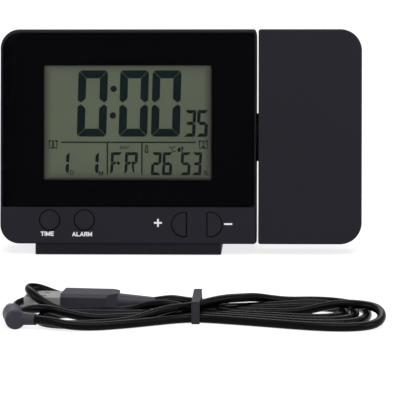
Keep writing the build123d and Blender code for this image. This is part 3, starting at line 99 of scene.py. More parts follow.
WHITE = (1.0, 1.0, 1.0)
TABLE_HALF = 6.0
TABLE_GREY = 0.34
TABLE_GLOW = 0.79
TABLE_ROUGHNESS = 0.9
TABLE_SPECULAR = 0.1
# The sky lights with the first colour, is white to the camera, and is partly white in reflections.
SKY_LIGHT = (0.16, 0.16, 0.165)
MIRRORED_SKY = 0.6


def ray(tree, kind):
    """1 for rays of one kind and 0 for all others."""
    return Shade(tree, None).node("ShaderNodeLightPath", {}, {}, kind)


table_mesh = bpy.data.meshes.new("table_top")
table_corners = [(x * TABLE_HALF, y * TABLE_HALF, 0) for x, y in ((-1, -1), (1, -1), (1, 1), (-1, 1))]
table_mesh.from_pydata(table_corners, [], [(0, 1, 2, 3)])
table_top = bpy.data.objects.new("table_top", table_mesh)
bpy.context.scene.collection.objects.link(table_top)
table_finish = bpy.data.materials.new("table_top")
table_finish.use_nodes = True
table_tree = table_finish.node_tree
table_shader = table_tree.nodes["Principled BSDF"]
table_shader.inputs["Base Color"].default_value = flat((TABLE_GREY, TABLE_GREY, TABLE_GREY))
table_shader.inputs["Roughness"].default_value = TABLE_ROUGHNESS
table_shader.inputs["Specular IOR Level"].default_value = TABLE_SPECULAR
seen = ray(table_tree, "Is Camera Ray")
shown = seen + ray(table_tree, "Is Glossy Ray") + ray(table_tree, "Is Transmission Ray")
glow = seen.node("ShaderNodeEmission", {}, {"Strength": shown * TABLE_GLOW})
lit = seen.node("ShaderNodeAddShader", {}, {0: Shade(table_tree, table_shader.outputs[0]), 1: glow})
table_tree.links.new(lit.socket, table_tree.nodes["Material Output"].inputs["Surface"])
table_mesh.materials.append(table_finish)

studio = bpy.data.worlds.new("studio")
studio.use_nodes = True
bpy.context.scene.world = studio
sky = studio.node_tree
straight = ray(sky, "Is Camera Ray") + ray(sky, "Is Transmission Ray")
open_share = (straight + ray(sky, "Is Glossy Ray") * MIRRORED_SKY).over(0.0, 1.0)
sky_colour = open_share.blend(flat(SKY_LIGHT), flat(WHITE))
sky.links.new(sky_colour.socket, sky.nodes["Background"].inputs["Color"])

# Each soft box's name, place and size in metres, and power in watts.
SOFT_BOXES = (
    ("soft_box_front", (0.2, -0.9, 1.5), (1.4, 1.0), 20),
    ("soft_box_left", (-1.5, -0.7, 0.7), (1.0, 1.0), 9),
    ("soft_box_right", (1.5, -0.7, 0.7), (1.0, 1.0), 9),
    ("soft_box_back", (0.0, 1.3, 1.3), (1.4, 0.8), 12),
)
LAMPS_FACE = Vector((0, 0, 0.04))
for name, place, size, power in SOFT_BOXES:
    lamp = bpy.data.lights.new(name, "AREA")
    lamp.shape = "RECTANGLE"
    lamp.size, lamp.size_y = size
    lamp.energy = power
    holder = bpy.data.objects.new(name, lamp)
    holder.location = place
    holder.rotation_euler = (LAMPS_FACE - Vector(place)).to_track_quat("-Z", "Y").to_euler()
    bpy.context.scene.collection.objects.link(holder)

LEAN = math.radians(10)
LOOK_AT = Vector((8.12, -19.38, 22.90)) * MM
CAMERA_AWAY = 1.1
CAMERA_TURN = math.radians(2.5)
CAMERA_ROLL = math.radians(-0.32)
FRAME_WIDTH = 0.1656
SENSOR_WIDTH = 36.0
SEEN_TO = 50.0
camera_data = bpy.data.cameras.new("camera")
camera_data.sensor_width = SENSOR_WIDTH
camera_data.lens = SENSOR_WIDTH * CAMERA_AWAY / FRAME_WIDTH
camera_data.clip_end = SEEN_TO
camera = bpy.data.objects.new("camera", camera_data)
aim = Matrix.Rotation(CAMERA_TURN, 3, "Z") @ Matrix.Rotation(math.pi / 2 - LEAN, 3, "X")
aim = aim @ Matrix.Rotation(CAMERA_ROLL, 3, "Z")
camera.rotation_euler = aim.to_euler()
camera.location = LOOK_AT + aim @ Vector((0, 0, CAMERA_AWAY))
bpy.context.scene.collection.objects.link(camera)
bpy.context.scene.camera = camera
bpy.context.scene.view_settings.view_transform = "Standard"

# ---- casings
# Front and rear halves of the clock body and of the projector arm, moulded in black ABS with a fine
# spark-eroded grain, screwed together from behind. The front half carries the lower band.
BLACK_ABS = (0.0066, 0.0058, 0.0110)
ABS_SPECULAR = 0.2
MICRON = 0.001 * MM
BROAD_SCALE = 28.0
# How much the broad and the fine noise take part in a finish's tone and in its gloss.
TONE_SHARES = (0.7, 0.3)
TONE_SPREAD = (0.3, 0.7)
GLOSS_SHARES = (0.1, 0.08)
CLOCK_CORNER = Vector((-75.0, -22.4545, 4.93012)) * MM
upright = Matrix.Translation(CLOCK_CORNER) @ Matrix.Rotation(-LEAN, 4, "X")


def moulded(name, colour, roughness, grain=0.35, depth=20.0, uneven=0.12, **constants):
    """Finish with a grain in mm of a depth in microns, and a faint unevenness in tone and gloss.

    Any other input of its shader is given by its name in lower case.
    """
    material = bpy.data.materials.new(name)
    material.use_nodes = True
    tree = material.node_tree
    shader = tree.nodes["Principled BSDF"]
    for key, value in constants.items():
        shader.inputs[key.replace("_", " ").title().replace("Ior", "IOR")].default_value = value
    place = Shade(tree, None).node("ShaderNodeTexCoord", {}, {}, "Object")
    fine_scale = 1 / (grain * MM)
    fine = place.node("ShaderNodeTexNoise", {}, {"Vector": place, "Scale": fine_scale, "Detail": 2.0})
    broad = place.node("ShaderNodeTexNoise", {}, {"Vector": place, "Scale": BROAD_SCALE, "Detail": 3.0})
    darker = flat([channel * (1 - uneven) for channel in colour])
    lighter = flat([channel * (1 + uneven) for channel in colour])
    tone = (broad * TONE_SHARES[0] + fine * TONE_SHARES[1]).over(*TONE_SPREAD)
    tree.links.new(tone.blend(darker, lighter).socket, shader.inputs["Base Color"])
    gloss = (broad - 0.5) * GLOSS_SHARES[0] + (fine - 0.5) * GLOSS_SHARES[1] + roughness
    tree.links.new(gloss.socket, shader.inputs["Roughness"])
    relief = {"Strength": 0.5, "Distance": depth * MICRON, "Height": fine}
    tree.links.new(place.node("ShaderNodeBump", {}, relief).socket, shader.inputs["Normal"])
    return material


def recolour(material, share_of, second):
    """Blends a finish into a second colour by share_of(x, y, z), in metres on the upright clock."""
    tree = material.node_tree
    shader = tree.nodes["Principled BSDF"]
    first = Shade(tree, shader.inputs["Base Color"].links[0].from_socket)
    place = first.node("ShaderNodeTexCoord", {}, {}, "Object")
    back = {"Location": upright.inverted().translation, "Rotation": (LEAN, 0.0, 0.0)}
    square_on = first.node("ShaderNodeMapping", {}, {"Vector": place, **back})
    parts = [first.node("ShaderNodeSeparateXYZ", {}, {0: square_on}, axis) for axis in "XYZ"]
    tree.links.new(share_of(*parts).blend(first, flat(second)).socket, shader.inputs["Base Color"])


def dress(material, *names):
    """Gives CAD nodes a finish."""
    for name in names:
        cad[name].data.materials.clear()
        cad[name].data.materials.append(material)


EDGE_BLUR = 0.1


def between(value, low, high):
    """1 between two limits in mm and 0 outside them, with a narrow blurred edge."""
    rise = value.over((low - EDGE_BLUR) * MM, low * MM)
    return rise * (1.0 - value.over(high * MM, (high + EDGE_BLUR) * MM))


# Limits in X, Y and Z of the row of openings whose walls get painted shade, in mm on the upright clock.
KEY_ROW = ((14, 96), (0.2, 6), (2.6, 15))
PAINTED_SHADE_ABS = (0.0005, 0.0005, 0.0010)


def painted_shade_in_openings(x, y, z):
    """Painted shade: 1 on the walls of the buttons' openings, which lie in shade."""
    in_x, in_y, in_z = [between(value, *limits) for value, limits in zip((x, y, z), KEY_ROW)]
    return in_x * in_y * in_z


casing = moulded("casing_abs", BLACK_ABS, 0.6, specular_ior_level=ABS_SPECULAR)
# Painted shade darkens the walls of the buttons' openings.
recolour(casing, painted_shade_in_openings, PAINTED_SHADE_ABS)
dress(casing, "front_casing", "rear_casing", "arm_front_shell", "arm_rear_shell", "battery_door")

# ---- display window and its mask
# Clear acrylic plate with a black film behind it that leaves the display's opening free; both lie in
# the front casing's pocket, held by double-sided tape. The projector's tube has the same deep black.
window = moulded(
    "window_acrylic", (0.0012, 0.0012, 0.0018), 0.07,
    grain=4, depth=0.1, uneven=0.05, alpha=0.05,
)
dress(window, "display_window")
mask = moulded(
    "mask_film", (0.0003, 0.0003, 0.0008), 0.3,
    grain=1, depth=3, uneven=0.1, specular_ior_level=0.02,
)
dress(mask, "window_mask", "projector_housing")

# ---- display
# Positive liquid crystal cell: a grey-green ground with near-black figures. The figures are the cell's
# own segments, drawn on the face of its front glass.
CELL_GROUND = (0.108, 0.132, 0.083)
CELL_INK = (0.0004, 0.0060, 0.0058)


def placed(x, y, z):
    """Point of the upright clock, in mm from its front lower left corner, on the leaned clock."""
    return upright @ (Vector((x, y, z)) * MM)


def piece(name, mesh, material, body):
    """Makes a piece of a mesh, with a finish, that rides on a body."""
    made = bpy.data.objects.new(name, mesh)
    bpy.context.scene.collection.objects.link(made)
    mesh.materials.clear()
    mesh.materials.append(material)
    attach(made, body)
    return made


def drawn(name, shape, material, body):
    """Makes a piece of all that was added to a bmesh."""
    bmesh.ops.recalc_face_normals(shape, faces=shape.faces)
    mesh = bpy.data.meshes.new(name)
    shape.to_mesh(mesh)
    piece(name, mesh, material, body)


def prism(shape, near, far):
    """Adds a closed prism between two matching rings of points."""
    near, far = [[shape.verts.new(point) for point in ring] for ring in (near, far)]
    shape.faces.new(near)
    shape.faces.new(reversed(far))
    for i in range(len(near)):
        j = (i + 1) % len(near)
        shape.faces.new((near[i], far[i], far[j], near[j]))


def plates(shape, outlines, y_front, y_back):
    """Adds flat plates to a bmesh, one for each outline of (x, z) points in the front view."""
    for outline in outlines:
        front, back = [[placed(x, y, z) for x, z in outline] for y in (y_front, y_back)]
        prism(shape, front, back)


def bar(x0, x1, z0, z1):
    return [(x0, z0), (x1, z0), (x1, z1), (x0, z1)]


def disc(x, z, r, sides=24):
    turns = [2 * math.pi * i / sides for i in range(sides)]
    return [(x + r * math.cos(turn), z + r * math.sin(turn)) for turn in turns]


def words(shape, text, x0, x1, z0, z1, y_front, y_back, bold):
    """Adds a word to a bmesh, fitted to a box in the front view."""
    curve = bpy.data.curves.new("word", "FONT")
    curve.body = text
    curve.offset = bold
    curve.extrude = 0.5
    holder = bpy.data.objects.new("word", curve)
    bpy.context.scene.collection.objects.link(holder)
    seen_from = bpy.context.evaluated_depsgraph_get()
    mesh = bpy.data.meshes.new_from_object(holder.evaluated_get(seen_from))
    xs = [vert.co.x for vert in mesh.vertices]
    ys = [vert.co.y for vert in mesh.vertices]
    wide = max(xs) - min(xs)
    tall = max(ys) - min(ys)
    for vert in mesh.vertices:
        x = x0 + (vert.co.x - min(xs)) / wide * (x1 - x0)
        z = z0 + (vert.co.y - min(ys)) / tall * (z1 - z0)
        vert.co = placed(x, y_front if vert.co.z > 0 else y_back, z)
    shape.from_mesh(mesh)
    bpy.data.objects.remove(holder)
    bpy.data.meshes.remove(mesh)


# Strokes of each capital from (x, z) to (x, z) in its own box, with the box's width over its height.
CAPITALS = {
    "A": (0.84, ((0, 0, 0.5, 1), (0.5, 1, 1, 0), (0.2, 0.28, 0.8, 0.28))),
    "E": (0.65, ((0, 0, 0, 1), (0, 1, 1, 1), (0, 0.5, 0.9, 0.5), (0, 0, 1, 0))),
    "I": (0.0, ((0, 0, 0, 1),)),
    "L": (0.65, ((0, 1, 0, 0), (0, 0, 1, 0))),
    "M": (0.9, ((0, 0, 0, 1), (0, 1, 0.5, 0.15), (0.5, 0.15, 1, 1), (1, 1, 1, 0))),
    "R": (0.73, (
        (0, 0, 0, 1), (0, 1, 0.8, 1), (0.8, 1, 1, 0.85), (1, 0.85, 1, 0.6), (1, 0.6, 0.8, 0.45),
        (0.8, 0.45, 0, 0.45), (0.5, 0.45, 1, 0),
    )),
    "T": (0.73, ((0, 1, 1, 1), (0.5, 1, 0.5, 0))),
}
STROKE_STEP = 0.001


def capitals(shape, text, x0, x1, z0, z1, line, y_front, y_back):
    """Adds capitals of straight strokes, spread over a box; strokes that cross stand a step apart."""
    inner = z1 - z0 - line
    widths = [CAPITALS[letter][0] * inner + line for letter in text]
    space = (x1 - x0 - sum(widths)) / max(1, len(text) - 1)
    left = x0
    for letter, wide in zip(text, widths):
        origin = Vector((left + line / 2, z0 + line / 2))
        for step, (start_x, start_z, end_x, end_z) in enumerate(CAPITALS[letter][1]):
            start = origin + Vector((start_x * (wide - line), start_z * inner))
            end = origin + Vector((end_x * (wide - line), end_z * inner))
            along = (end - start).normalized() * line / 2
            aside = Vector((-along.y, along.x))
            start, end = start - along, end + along
            corners = (start - aside, end - aside, end + aside, start + aside)
            plates(shape, [corners], y_front - step * STROKE_STEP, y_back)
        left += wide + space


# Segments of each figure by the usual letters; h and i are the halves of the middle bar, k is a leg.
SEGMENTS = {
    "0": "abcdef", "1": "bc", "2": "abged", "3": "abgcd", "5": "afgcd", "6": "afgecd", "F": "afehi",
    "R": "abfehik",
}
# Points of a rounded corner, as shares of its size along the top and down the side.
CORNER_CUTS = ((0.293, 0.293), (0.617, 0.076), (1.0, 0.0))
# A side's pointed end, as shares of the stroke, and the leg's corners, as shares of the width.
POINT_ALONG = 0.4
POINT_DOWN = 0.6
LEG_WIDTHS = (0.52, 0.7, 0.82, 0.7)


def figure(sign, x0, z0, wide, tall, stroke, gap, middle_gap, corner, slant):
    """Outlines of a figure's lit segments, mitred and rounded at the corners, pointed half-way up."""
    def flipped(outline):
        return [(wide - x, z) for x, z in outline]

    half = tall / 2
    tip = stroke / 2
    point = stroke * POINT_ALONG
    top = [(corner * along, tall - corner * down) for along, down in CORNER_CUTS]
    side = [(corner * along, tall - corner * down) for down, along in reversed(CORNER_CUTS)]
    top[0] = (top[0][0] + gap, top[0][1])
    side[-1] = (side[-1][0], side[-1][1] - gap)
    across = top + flipped(reversed(top))
    across += [(wide - stroke - gap, tall - stroke), (stroke + gap, tall - stroke)]
    upper = side + [
        (stroke, tall - stroke - gap), (stroke, half + tip + middle_gap), (point, half + middle_gap),
        (0.0, half + tip * POINT_DOWN + middle_gap),
    ]
    left_half = [
        (point + gap, half), (stroke + gap, half + tip), (wide / 2 - gap, half + tip),
        (wide / 2 - gap - tip * POINT_DOWN, half - tip), (stroke + gap, half - tip),
    ]
    left_end = left_half[1::-1] + left_half[4:]
    leg_heights = (half - tip - gap, half - tip - gap, tip, tip)
    shapes = {
        "a": across,
        "f": upper,
        "g": left_end + flipped(reversed(left_end)),
        "h": left_half,
        "i": flipped(left_half),
        "k": [(wide * share, z) for share, z in zip(LEG_WIDTHS, leg_heights)],
        "b": flipped(upper),
        "e": [(x, tall - z) for x, z in upper],
        "c": [(x, tall - z) for x, z in flipped(upper)],
        "d": [(x, tall - z) for x, z in across],
    }
    lit = [shapes[letter] for letter in SEGMENTS[sign]]
    return [[(x0 + x + z * slant, z0 + z) for x, z in outline] for outline in lit]


def arc(x, z, outer, inner, start, end, steps):
    """Outline of a part of a ring between two angles in degrees."""
    turns = [math.radians(start + (end - start) * i / steps) for i in range(steps + 1)]
    outside = [(x + outer * math.cos(turn), z + outer * math.sin(turn)) for turn in turns]
    inside = [(x + inner * math.cos(turn), z + inner * math.sin(turn)) for turn in reversed(turns)]
    return outside + inside


SIGN_WIDE = 3.8
SIGN_TALL = 3.3
SIGN_LINE = 0.55
BELL = ((0.0, -0.9), (0.0, 0.1), (1.0, 0.1), (0.9, -0.4), (0.4, -0.9))
SIGN_FOOT = ((0.1, -0.2), (0.7, -0.2), (0.7, 0.4), (0.3, 0.6))


def alarm_sign(x0, z0):
    """Small square clock with two bells and two feet; its right half mirrors its left half."""
    left = [
        bar(0.0, SIGN_LINE, 0.9, 1.5),
        bar(0.1, SIGN_LINE, SIGN_TALL - 1.6, SIGN_TALL - 1.1),
        [(x, SIGN_TALL + z) for x, z in BELL],
        SIGN_FOOT,
    ]
    outlines = [bar(1.3, SIGN_WIDE - 1.3, SIGN_TALL - SIGN_LINE, SIGN_TALL)]
    outlines.append(bar(0.9, SIGN_WIDE - 0.9, 0.0, SIGN_LINE))
    outlines += left + [[(SIGN_WIDE - x, z) for x, z in outline] for outline in left]
    return [[(x0 + x, z0 + z) for x, z in outline] for outline in outlines]


# The tube's sides, by their distance from its middle and their height over the middle of the bulb,
# then each arc's outer and inner radius, the angles it runs between and its steps.
TUBE_SIDE = (0.15, 0.53)
TUBE_ENDS = (0.75, 2.0)
TUBE_TOP = (0.55, 0.15, 0, 180, 6)
BULB = (0.85, 0.4, 115, 425, 12)


def thermometer(x, z):
    """Bulb, two sides and a round top, drawn as lines."""
    near, far = TUBE_SIDE
    foot, top = TUBE_ENDS
    sides = [bar(x - far, x - near, z + foot, z + top), bar(x + near, x + far, z + foot, z + top)]
    return sides + [arc(x, z, *BULB), arc(x, z + top, *TUBE_TOP)]


DROP_START = 150
DROP_SWEEP = 240
DROP_STEPS = 12
DROP_TIP = 2.3


def drop(x, z, r, lean):
    """Outline of a falling drop, with its point leant sideways."""
    turns = [math.radians(DROP_START + DROP_SWEEP * i / DROP_STEPS) for i in range(DROP_STEPS + 1)]
    bowl = [(x + r * math.cos(turn), z + r * math.sin(turn)) for turn in turns]
    return bowl + [(x + lean, z + DROP_TIP * r)]


VIEW_MIDDLE = (52.75, 50.65)
VIEW_HALF = (34.45, 23.3)
# Where the mask's shade and the black border, which is painted shade where the mask's shadow falls,
# begin and are full, outwards from the view's edge.
SHADE_STRIP = (-3.4, 0.2)
SHADED_BORDER_EDGE = (0.0, 0.02)
SHADE_CAPS = 0.6
SHADE = (0.036, 0.041, 0.031)
PAINTED_BORDER_SHADE = (0.0006, 0.0006, 0.0006)
# The two limits of each painted shade, a fall in brightness, and the share that it takes away.
PAINTED_FALL_RIGHT = (60, 92, 0.11)
PAINTED_FALL_DOWN = (25, 42, 0.09)


def near_view_edge(x, z, start, end, caps):
    """From 0 to 1 across a strip along the edges of the view, times caps along its top and bottom."""
    strips = []
    for value, middle, half in zip((x, z), VIEW_MIDDLE, VIEW_HALF):
        out = (value - middle * MM).maths("ABSOLUTE", 0.0)
        strips.append(out.over((half + start) * MM, (half + end) * MM))
    return strips[0].maths("MAXIMUM", strips[1] * caps)


def painted_shade_fall(x, y, z):
    """Painted shade: the cell darker towards the right and towards the bottom."""
    right_from, right_to, right_share = PAINTED_FALL_RIGHT
    down_from, down_to, down_share = PAINTED_FALL_DOWN
    right = x.over(right_from * MM, right_to * MM) * right_share
    return right + (1.0 - z.over(down_from * MM, down_to * MM)) * down_share


def mask_shade(x, y, z):
    """The mask's soft shade on the cell along its opening."""
    return near_view_edge(x, z, *SHADE_STRIP, SHADE_CAPS)


def painted_shade_border(x, y, z):
    """Painted shade: 1 on a black border outside the view, where the mask's shadow falls on the cell.
    """
    return near_view_edge(x, z, *SHADED_BORDER_EDGE, 1.0)


lcd = moulded("lcd_cell", CELL_GROUND, 0.32, grain=1.2, depth=1, uneven=0.05)
# Painted shade: the cell darker towards the right and the bottom.
recolour(lcd, painted_shade_fall, (0.0, 0.0, 0.0))
recolour(lcd, mask_shade, SHADE)
# Painted shade: a black border round the view, where the mask's shadow falls.
recolour(lcd, painted_shade_border, PAINTED_BORDER_SHADE)
dress(lcd, "lcd_glass")
small_cell = moulded("image_cell_glass", (0.02, 0.024, 0.022), 0.15, grain=1.2, depth=1, uneven=0.05)
dress(small_cell, "image_cell")
ink = moulded("lcd_ink", CELL_INK, 0.45, grain=0.8, depth=1, uneven=0.1, specular_ior_level=0.1)

INK_FRONT = 1.94
INK_BACK = 2.0
BIG_SLANT = math.tan(math.radians(1.5))
SMALL_SLANT = math.tan(math.radians(2.8))
# Each row's figures by sign, left side and width, then the row's foot, height, stroke, gap between
# segments, gap at the middle, corner and slant.
FIGURE_ROWS = (
    (
        (("0", 31.7, 12.3), ("0", 49.1, 11.95), ("0", 62.55, 12.0)),
        44.5, 27.5, 3.3, 0.11, 0.38, 1.6, BIG_SLANT,
    ),
    (
        (("3", 76.3, 4.65), ("5", 81.4, 4.65)),
        44.45, 11.1, 1.4, 0.07, 0.13, 0.5, SMALL_SLANT,
    ),
    (
        (("1", 24.25, 4.1), ("1", 36.5, 4.1)),
        28.85, 9.2, 1.4, 0.06, 0.2, 0.5, SMALL_SLANT,
    ),
    (
        (("F", 45.6, 4.7), ("R", 51.5, 5.3)),
        28.9, 9.1, 1.2, 0.06, 0.13, 0.5, SMALL_SLANT,
    ),
    (
        (("2", 62.55, 4.1), ("6", 67.15, 4.1), ("5", 74.75, 4.1), ("3", 79.55, 3.9)),
        28.5, 9.5, 1.2, 0.06, 0.13, 0.5, SMALL_SLANT,
    ),
)
COLON = ((47.0, 64.32, 1.32), (46.75, 53.25, 1.32))
RULES = ((25.2, 81.2, 41.87, 42.4), (44.2, 44.75, 28.75, 41.85), (58.58, 59.13, 28.75, 41.85))
ALARM_SIGNS = ((19.95, 39.6), (82.5, 39.57))
THERMOMETER = (60.78, 38.5)
DROPS = ((74.3, 38.85, 0.72, 0.45), (75.6, 39.5, 0.5, 0.35), (75.5, 38.4, 0.3, 0.2))
# Small words by their left, right, lower and upper edges.
SMALL_WORDS = (
    ("D", 29.0, 30.6, 28.55, 30.5), ("DAY", 49.75, 53.7, 39.35, 40.65),
    ("°C", 70.15, 72.9, 38.2, 40.5), ("%", 84.3, 86.6, 28.45, 30.55),
    ("1", 21.5, 22.15, 40.3, 42.1), ("2", 83.75, 85.05, 40.25, 42.1),
)
SMALL_BOLD = 0.012
MONTH = ("M", 40.9, 42.9, 28.3, 30.3)
MONTH_LINE = 0.34
figures = bmesh.new()
signs = []
for row, foot, *form in FIGURE_ROWS:
    for sign, x0, wide in row:
        signs += figure(sign, x0, foot, wide, *form)
signs += [disc(*dot) for dot in COLON] + [bar(*rule) for rule in RULES]
signs += [outline for corner in ALARM_SIGNS for outline in alarm_sign(*corner)]
signs += thermometer(*THERMOMETER) + [drop(*each) for each in DROPS]
plates(figures, signs, INK_FRONT, INK_BACK)
for word in SMALL_WORDS:
    words(figures, *word, INK_FRONT, INK_BACK, SMALL_BOLD)
capitals(figures, *MONTH, MONTH_LINE, INK_FRONT, INK_BACK)
drawn("display_figures", figures, ink, "clock")

# ---- behind the cell
# White light guide, the grey frame that holds the cell against the casing, and the rubber connector
# strips that are pressed between cell and board.
light_guide = moulded("light_guide_acrylic", (0.75, 0.76, 0.74), 0.3, grain=0.6, depth=5, uneven=0.03)
dress(light_guide, "backlight")
frame_plastic = moulded(
    "frame_polycarbonate", (0.32, 0.33, 0.34), 0.5,
    grain=0.4, depth=10, uneven=0.05,
)
dress(frame_plastic, "lcd_frame", "climate_sensor")
rubber = moulded("silicone_rubber", (0.025, 0.025, 0.026), 0.75, grain=0.5, depth=20, uneven=0.15)
dress(rubber, "zebra_strips", "rubber_feet")

# ---- boards and what is on them
# Glass-fibre boards under green solder resist, with black components and steel screws. The battery
# bay behind them has tin-plated spring contacts and two cells in blue jackets.
board = moulded("board_resist", (0.012, 0.085, 0.035), 0.4, grain=0.9, depth=10, uneven=0.25)
dress(board, "main_board", "projector_board")
component = moulded("component_epoxy", (0.016, 0.016, 0.017), 0.5, grain=0.3, depth=10, uneven=0.15)
dress(component, "board_parts", "tact_switches", "flip_switch", "buzzer", "dc_jack")


def metal(name, colour, roughness, streak=0.08):
    """Plated or turned metal with fine streaks in its gloss."""
    material = moulded(name, colour, roughness, grain=0.5, depth=4, uneven=streak)
    material.node_tree.nodes["Principled BSDF"].inputs["Metallic"].default_value = 1.0
    return material


steel = metal("zinc_plated_steel", (0.5, 0.5, 0.49), 0.35)
dress(steel, "board_screws", "case_screws", "foot_screws", "arm_screws")
dress(steel, "retaining_ring", "friction_washer")
tin = metal("tinned_spring_steel", (0.62, 0.61, 0.58), 0.3)
dress(tin, "battery_contacts")
cell_jacket = moulded(
    "cell_jacket", (0.10, 0.16, 0.30), 0.35,
    grain=0.8, depth=4, uneven=0.08, metallic=0.5,
)
dress(cell_jacket, "battery_cells")

# ---- screws
# Zinc-plated pan-head screws with a cross recess, cold-headed and thread-formed into the bosses: four
# hold the clock's rear half, four the arm's, four the main board and two the foot.
RINGS = 7
# Rings of the head above its seat, as shares of its radius and height.
HEAD_PROFILE = ((1.0, 0.55), (0.93, 0.85), (0.72, 1.0))
# The tip's share of the shank's radius, and each bar of the recess as shares of the head.
TIP_SHARE = 0.5
RECESS_LONG = 1.15
RECESS_WIDE = 0.24
RECESS_DEEP = 0.9
SCREW_INPUTS = {
    "Places": "NodeSocketGeometry", "Head Radius": "NodeSocketFloat", "Head Height": "NodeSocketFloat",
    "Shank Radius": "NodeSocketFloat", "Shank Length": "NodeSocketFloat", "Turn": "NodeSocketVector",
    "Finish": "NodeSocketMaterial",
}
screw_tree = bpy.data.node_groups.new("pan_head_screws", "GeometryNodeTree")
entries = {}
for label, kind in SCREW_INPUTS.items():
    entry = screw_tree.interface.new_socket(name=label, in_out="INPUT", socket_type=kind)
    entries[label] = entry.identifier
screw_tree.interface.new_socket(name="Screws", in_out="OUTPUT", socket_type="NodeSocketGeometry")
given = screw_tree.nodes.new("NodeGroupInput")
places, head_r, head_h, shank_r, shank_l, turn, finish = [
    Shade(screw_tree, given.outputs[label]) for label in SCREW_INPUTS
]
blank_size = {"Vertices": 24, "Side Segments": RINGS - 1, "Radius": 1.0, "Depth": float(RINGS - 1)}
blank = places.node("GeometryNodeMeshCylinder", {}, blank_size)
position = places.node("GeometryNodeInputPosition", {}, {})
across, along, height = [
    places.node("ShaderNodeSeparateXYZ", {}, {0: position}, axis) for axis in "XYZ"
]
ring_number = height + RINGS / 2


def by_ring(values):
    """One value for each of the blank's rings, from the screw's tip to the top of its head."""
    switch = screw_tree.nodes.new("GeometryNodeIndexSwitch")
    switch.data_type = "FLOAT"
    while len(switch.index_switch_items) < len(values):
        switch.index_switch_items.new()
    screw_tree.links.new(ring_number.socket, switch.inputs[0])
    for i, value in enumerate(values):
        if isinstance(value, Shade):
            screw_tree.links.new(value.socket, switch.inputs[i + 1])
        else:
            switch.inputs[i + 1].default_value = value
    return Shade(screw_tree, switch.outputs[0])


head_widths = [head_r] + [head_r * wide for wide, up in HEAD_PROFILE]
head_heights = [head_h * up for wide, up in HEAD_PROFILE]
ring_r = by_ring([shank_r * TIP_SHARE, shank_r, shank_r] + head_widths)
ring_z = by_ring([shank_l * -1, shank_r - shank_l, 0.0, 0.0] + head_heights)
ring_sides = {"X": across * ring_r, "Y": along * ring_r, "Z": ring_z}
ring_point = places.node("ShaderNodeCombineXYZ", {}, ring_sides)
shaped = places.node("GeometryNodeSetPosition", {}, {"Geometry": blank, "Position": ring_point})
recess = (head_r * RECESS_LONG, head_r * RECESS_WIDE)
lift = places.node("ShaderNodeCombineXYZ", {}, {"Z": head_h})
for wide_x, wide_y in (recess, recess[::-1]):
    cutter_sides = {"X": wide_x, "Y": wide_y, "Z": head_h * RECESS_DEEP}
    cutter_size = places.node("ShaderNodeCombineXYZ", {}, cutter_sides)
    cutter = places.node("GeometryNodeMeshCube", {}, {"Size": cutter_size})
    cutter = places.node("GeometryNodeTransform", {}, {"Geometry": cutter, "Translation": lift})
    cut_settings = {"operation": "DIFFERENCE", "solver": "EXACT"}
    shaped = places.node("GeometryNodeMeshBoolean", cut_settings, {0: shaped, 1: cutter})
facing = places.node("FunctionNodeEulerToRotation", {}, {0: turn})
copies = {"Points": places, "Instance": shaped, "Rotation": facing}
spread = places.node("GeometryNodeInstanceOnPoints", {}, copies)
solid = places.node("GeometryNodeRealizeInstances", {}, {"Geometry": spread})
finished = places.node("GeometryNodeSetMaterial", {}, {"Geometry": solid, "Material": finish})
screw_tree.links.new(finished.socket, screw_tree.nodes.new("NodeGroupOutput").inputs[0])

BACKWARDS = (-math.pi / 2 - LEAN, 0.0, 0.0)
DOWN = (math.pi - LEAN, 0.0, 0.0)
# Each set's solids, body, X of its columns, Y under the heads, Z of its rows, the way the heads face,
# and head radius, head height, shank radius and shank length.
SCREW_SETS = (
    ("case_screws", "clock", (8.0, 98.2), 12.0, (9.2, 80.2), BACKWARDS, (2.3, 1.6, 1.2, 7.7)),
    ("arm_screws", "arm", (113.0, 143.0), 15.0, (9.5, 79.5), BACKWARDS, (2.3, 1.6, 1.2, 12.2)),
    ("board_screws", "clock", (16.0, 90.5), 10.6, (17.6, 82.0), BACKWARDS, (1.9, 1.2, 0.9, 5.0)),
    ("foot_screws", "clock", (38.0, 68.5), 14.0, (-1.2,), DOWN, (2.3, 0.8, 1.2, 8.2)),
)
for name, body, columns, y, rows, way, sides in SCREW_SETS:
    spot_mesh = bpy.data.meshes.new(name + "_places")
    spot_mesh.from_pydata([placed(x, y, z) for x in columns for z in rows], [], [])
    holder = bpy.data.objects.new(name + "_places", spot_mesh)
    bpy.context.scene.collection.objects.link(holder)
    maker = holder.modifiers.new("pan_head_screws", "NODES")
    maker.node_group = screw_tree
    for label, value in zip(("Head Radius", "Head Height", "Shank Radius", "Shank Length"), sides):
        maker[entries[label]] = value * MM
    maker[entries["Turn"]] = way
    maker[entries["Finish"]] = steel
    holder.update_tag()
    seen_from = bpy.context.evaluated_depsgraph_get()
    screw_mesh = bpy.data.meshes.new_from_object(holder.evaluated_get(seen_from))
    holder.modifiers.clear()
    bpy.data.objects.remove(holder)
    screws = piece("pan_head_" + name, screw_mesh, steel, body)
    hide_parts(name)

# ---- buttons
# The front buttons, the snooze bar and the arm's button are moulded in the casings' black ABS, with a
# slightly smoother grain than the casings round them. Flanges behind the wall keep the front ones in.
ROUND_KEYS = ((20.7, 9.8), (35.1, 9.8))
ROUND_R = 4.1
# Each half-moon button's centre, the X of its flat and the way its round side faces.
HALF_KEYS = ((76.45, 77.4, -1), (87.25, 86.15, 1))
HALF_Z = 8.05
HALF_R = 4.95
# Where the painted shade on each button's rim begins and is full, out to its outline, and the same in Y
# for its sides.
RIM_SHADE_LIMITS = (-0.48, -0.38)
SIDE_SHADE_LIMITS = (-0.2, -0.1)
KEY_ABS = (0.0080, 0.0072, 0.0130)
PAINTED_RIM_SHADE = (0.0006, 0.0006, 0.0012)


def from_centre(x, z, middle_x, middle_z):
    """Distance in the front view from a middle given in mm."""
    aside = x - middle_x * MM
    up = z - middle_z * MM
    return (aside * aside + up * up).maths("POWER", 0.5)


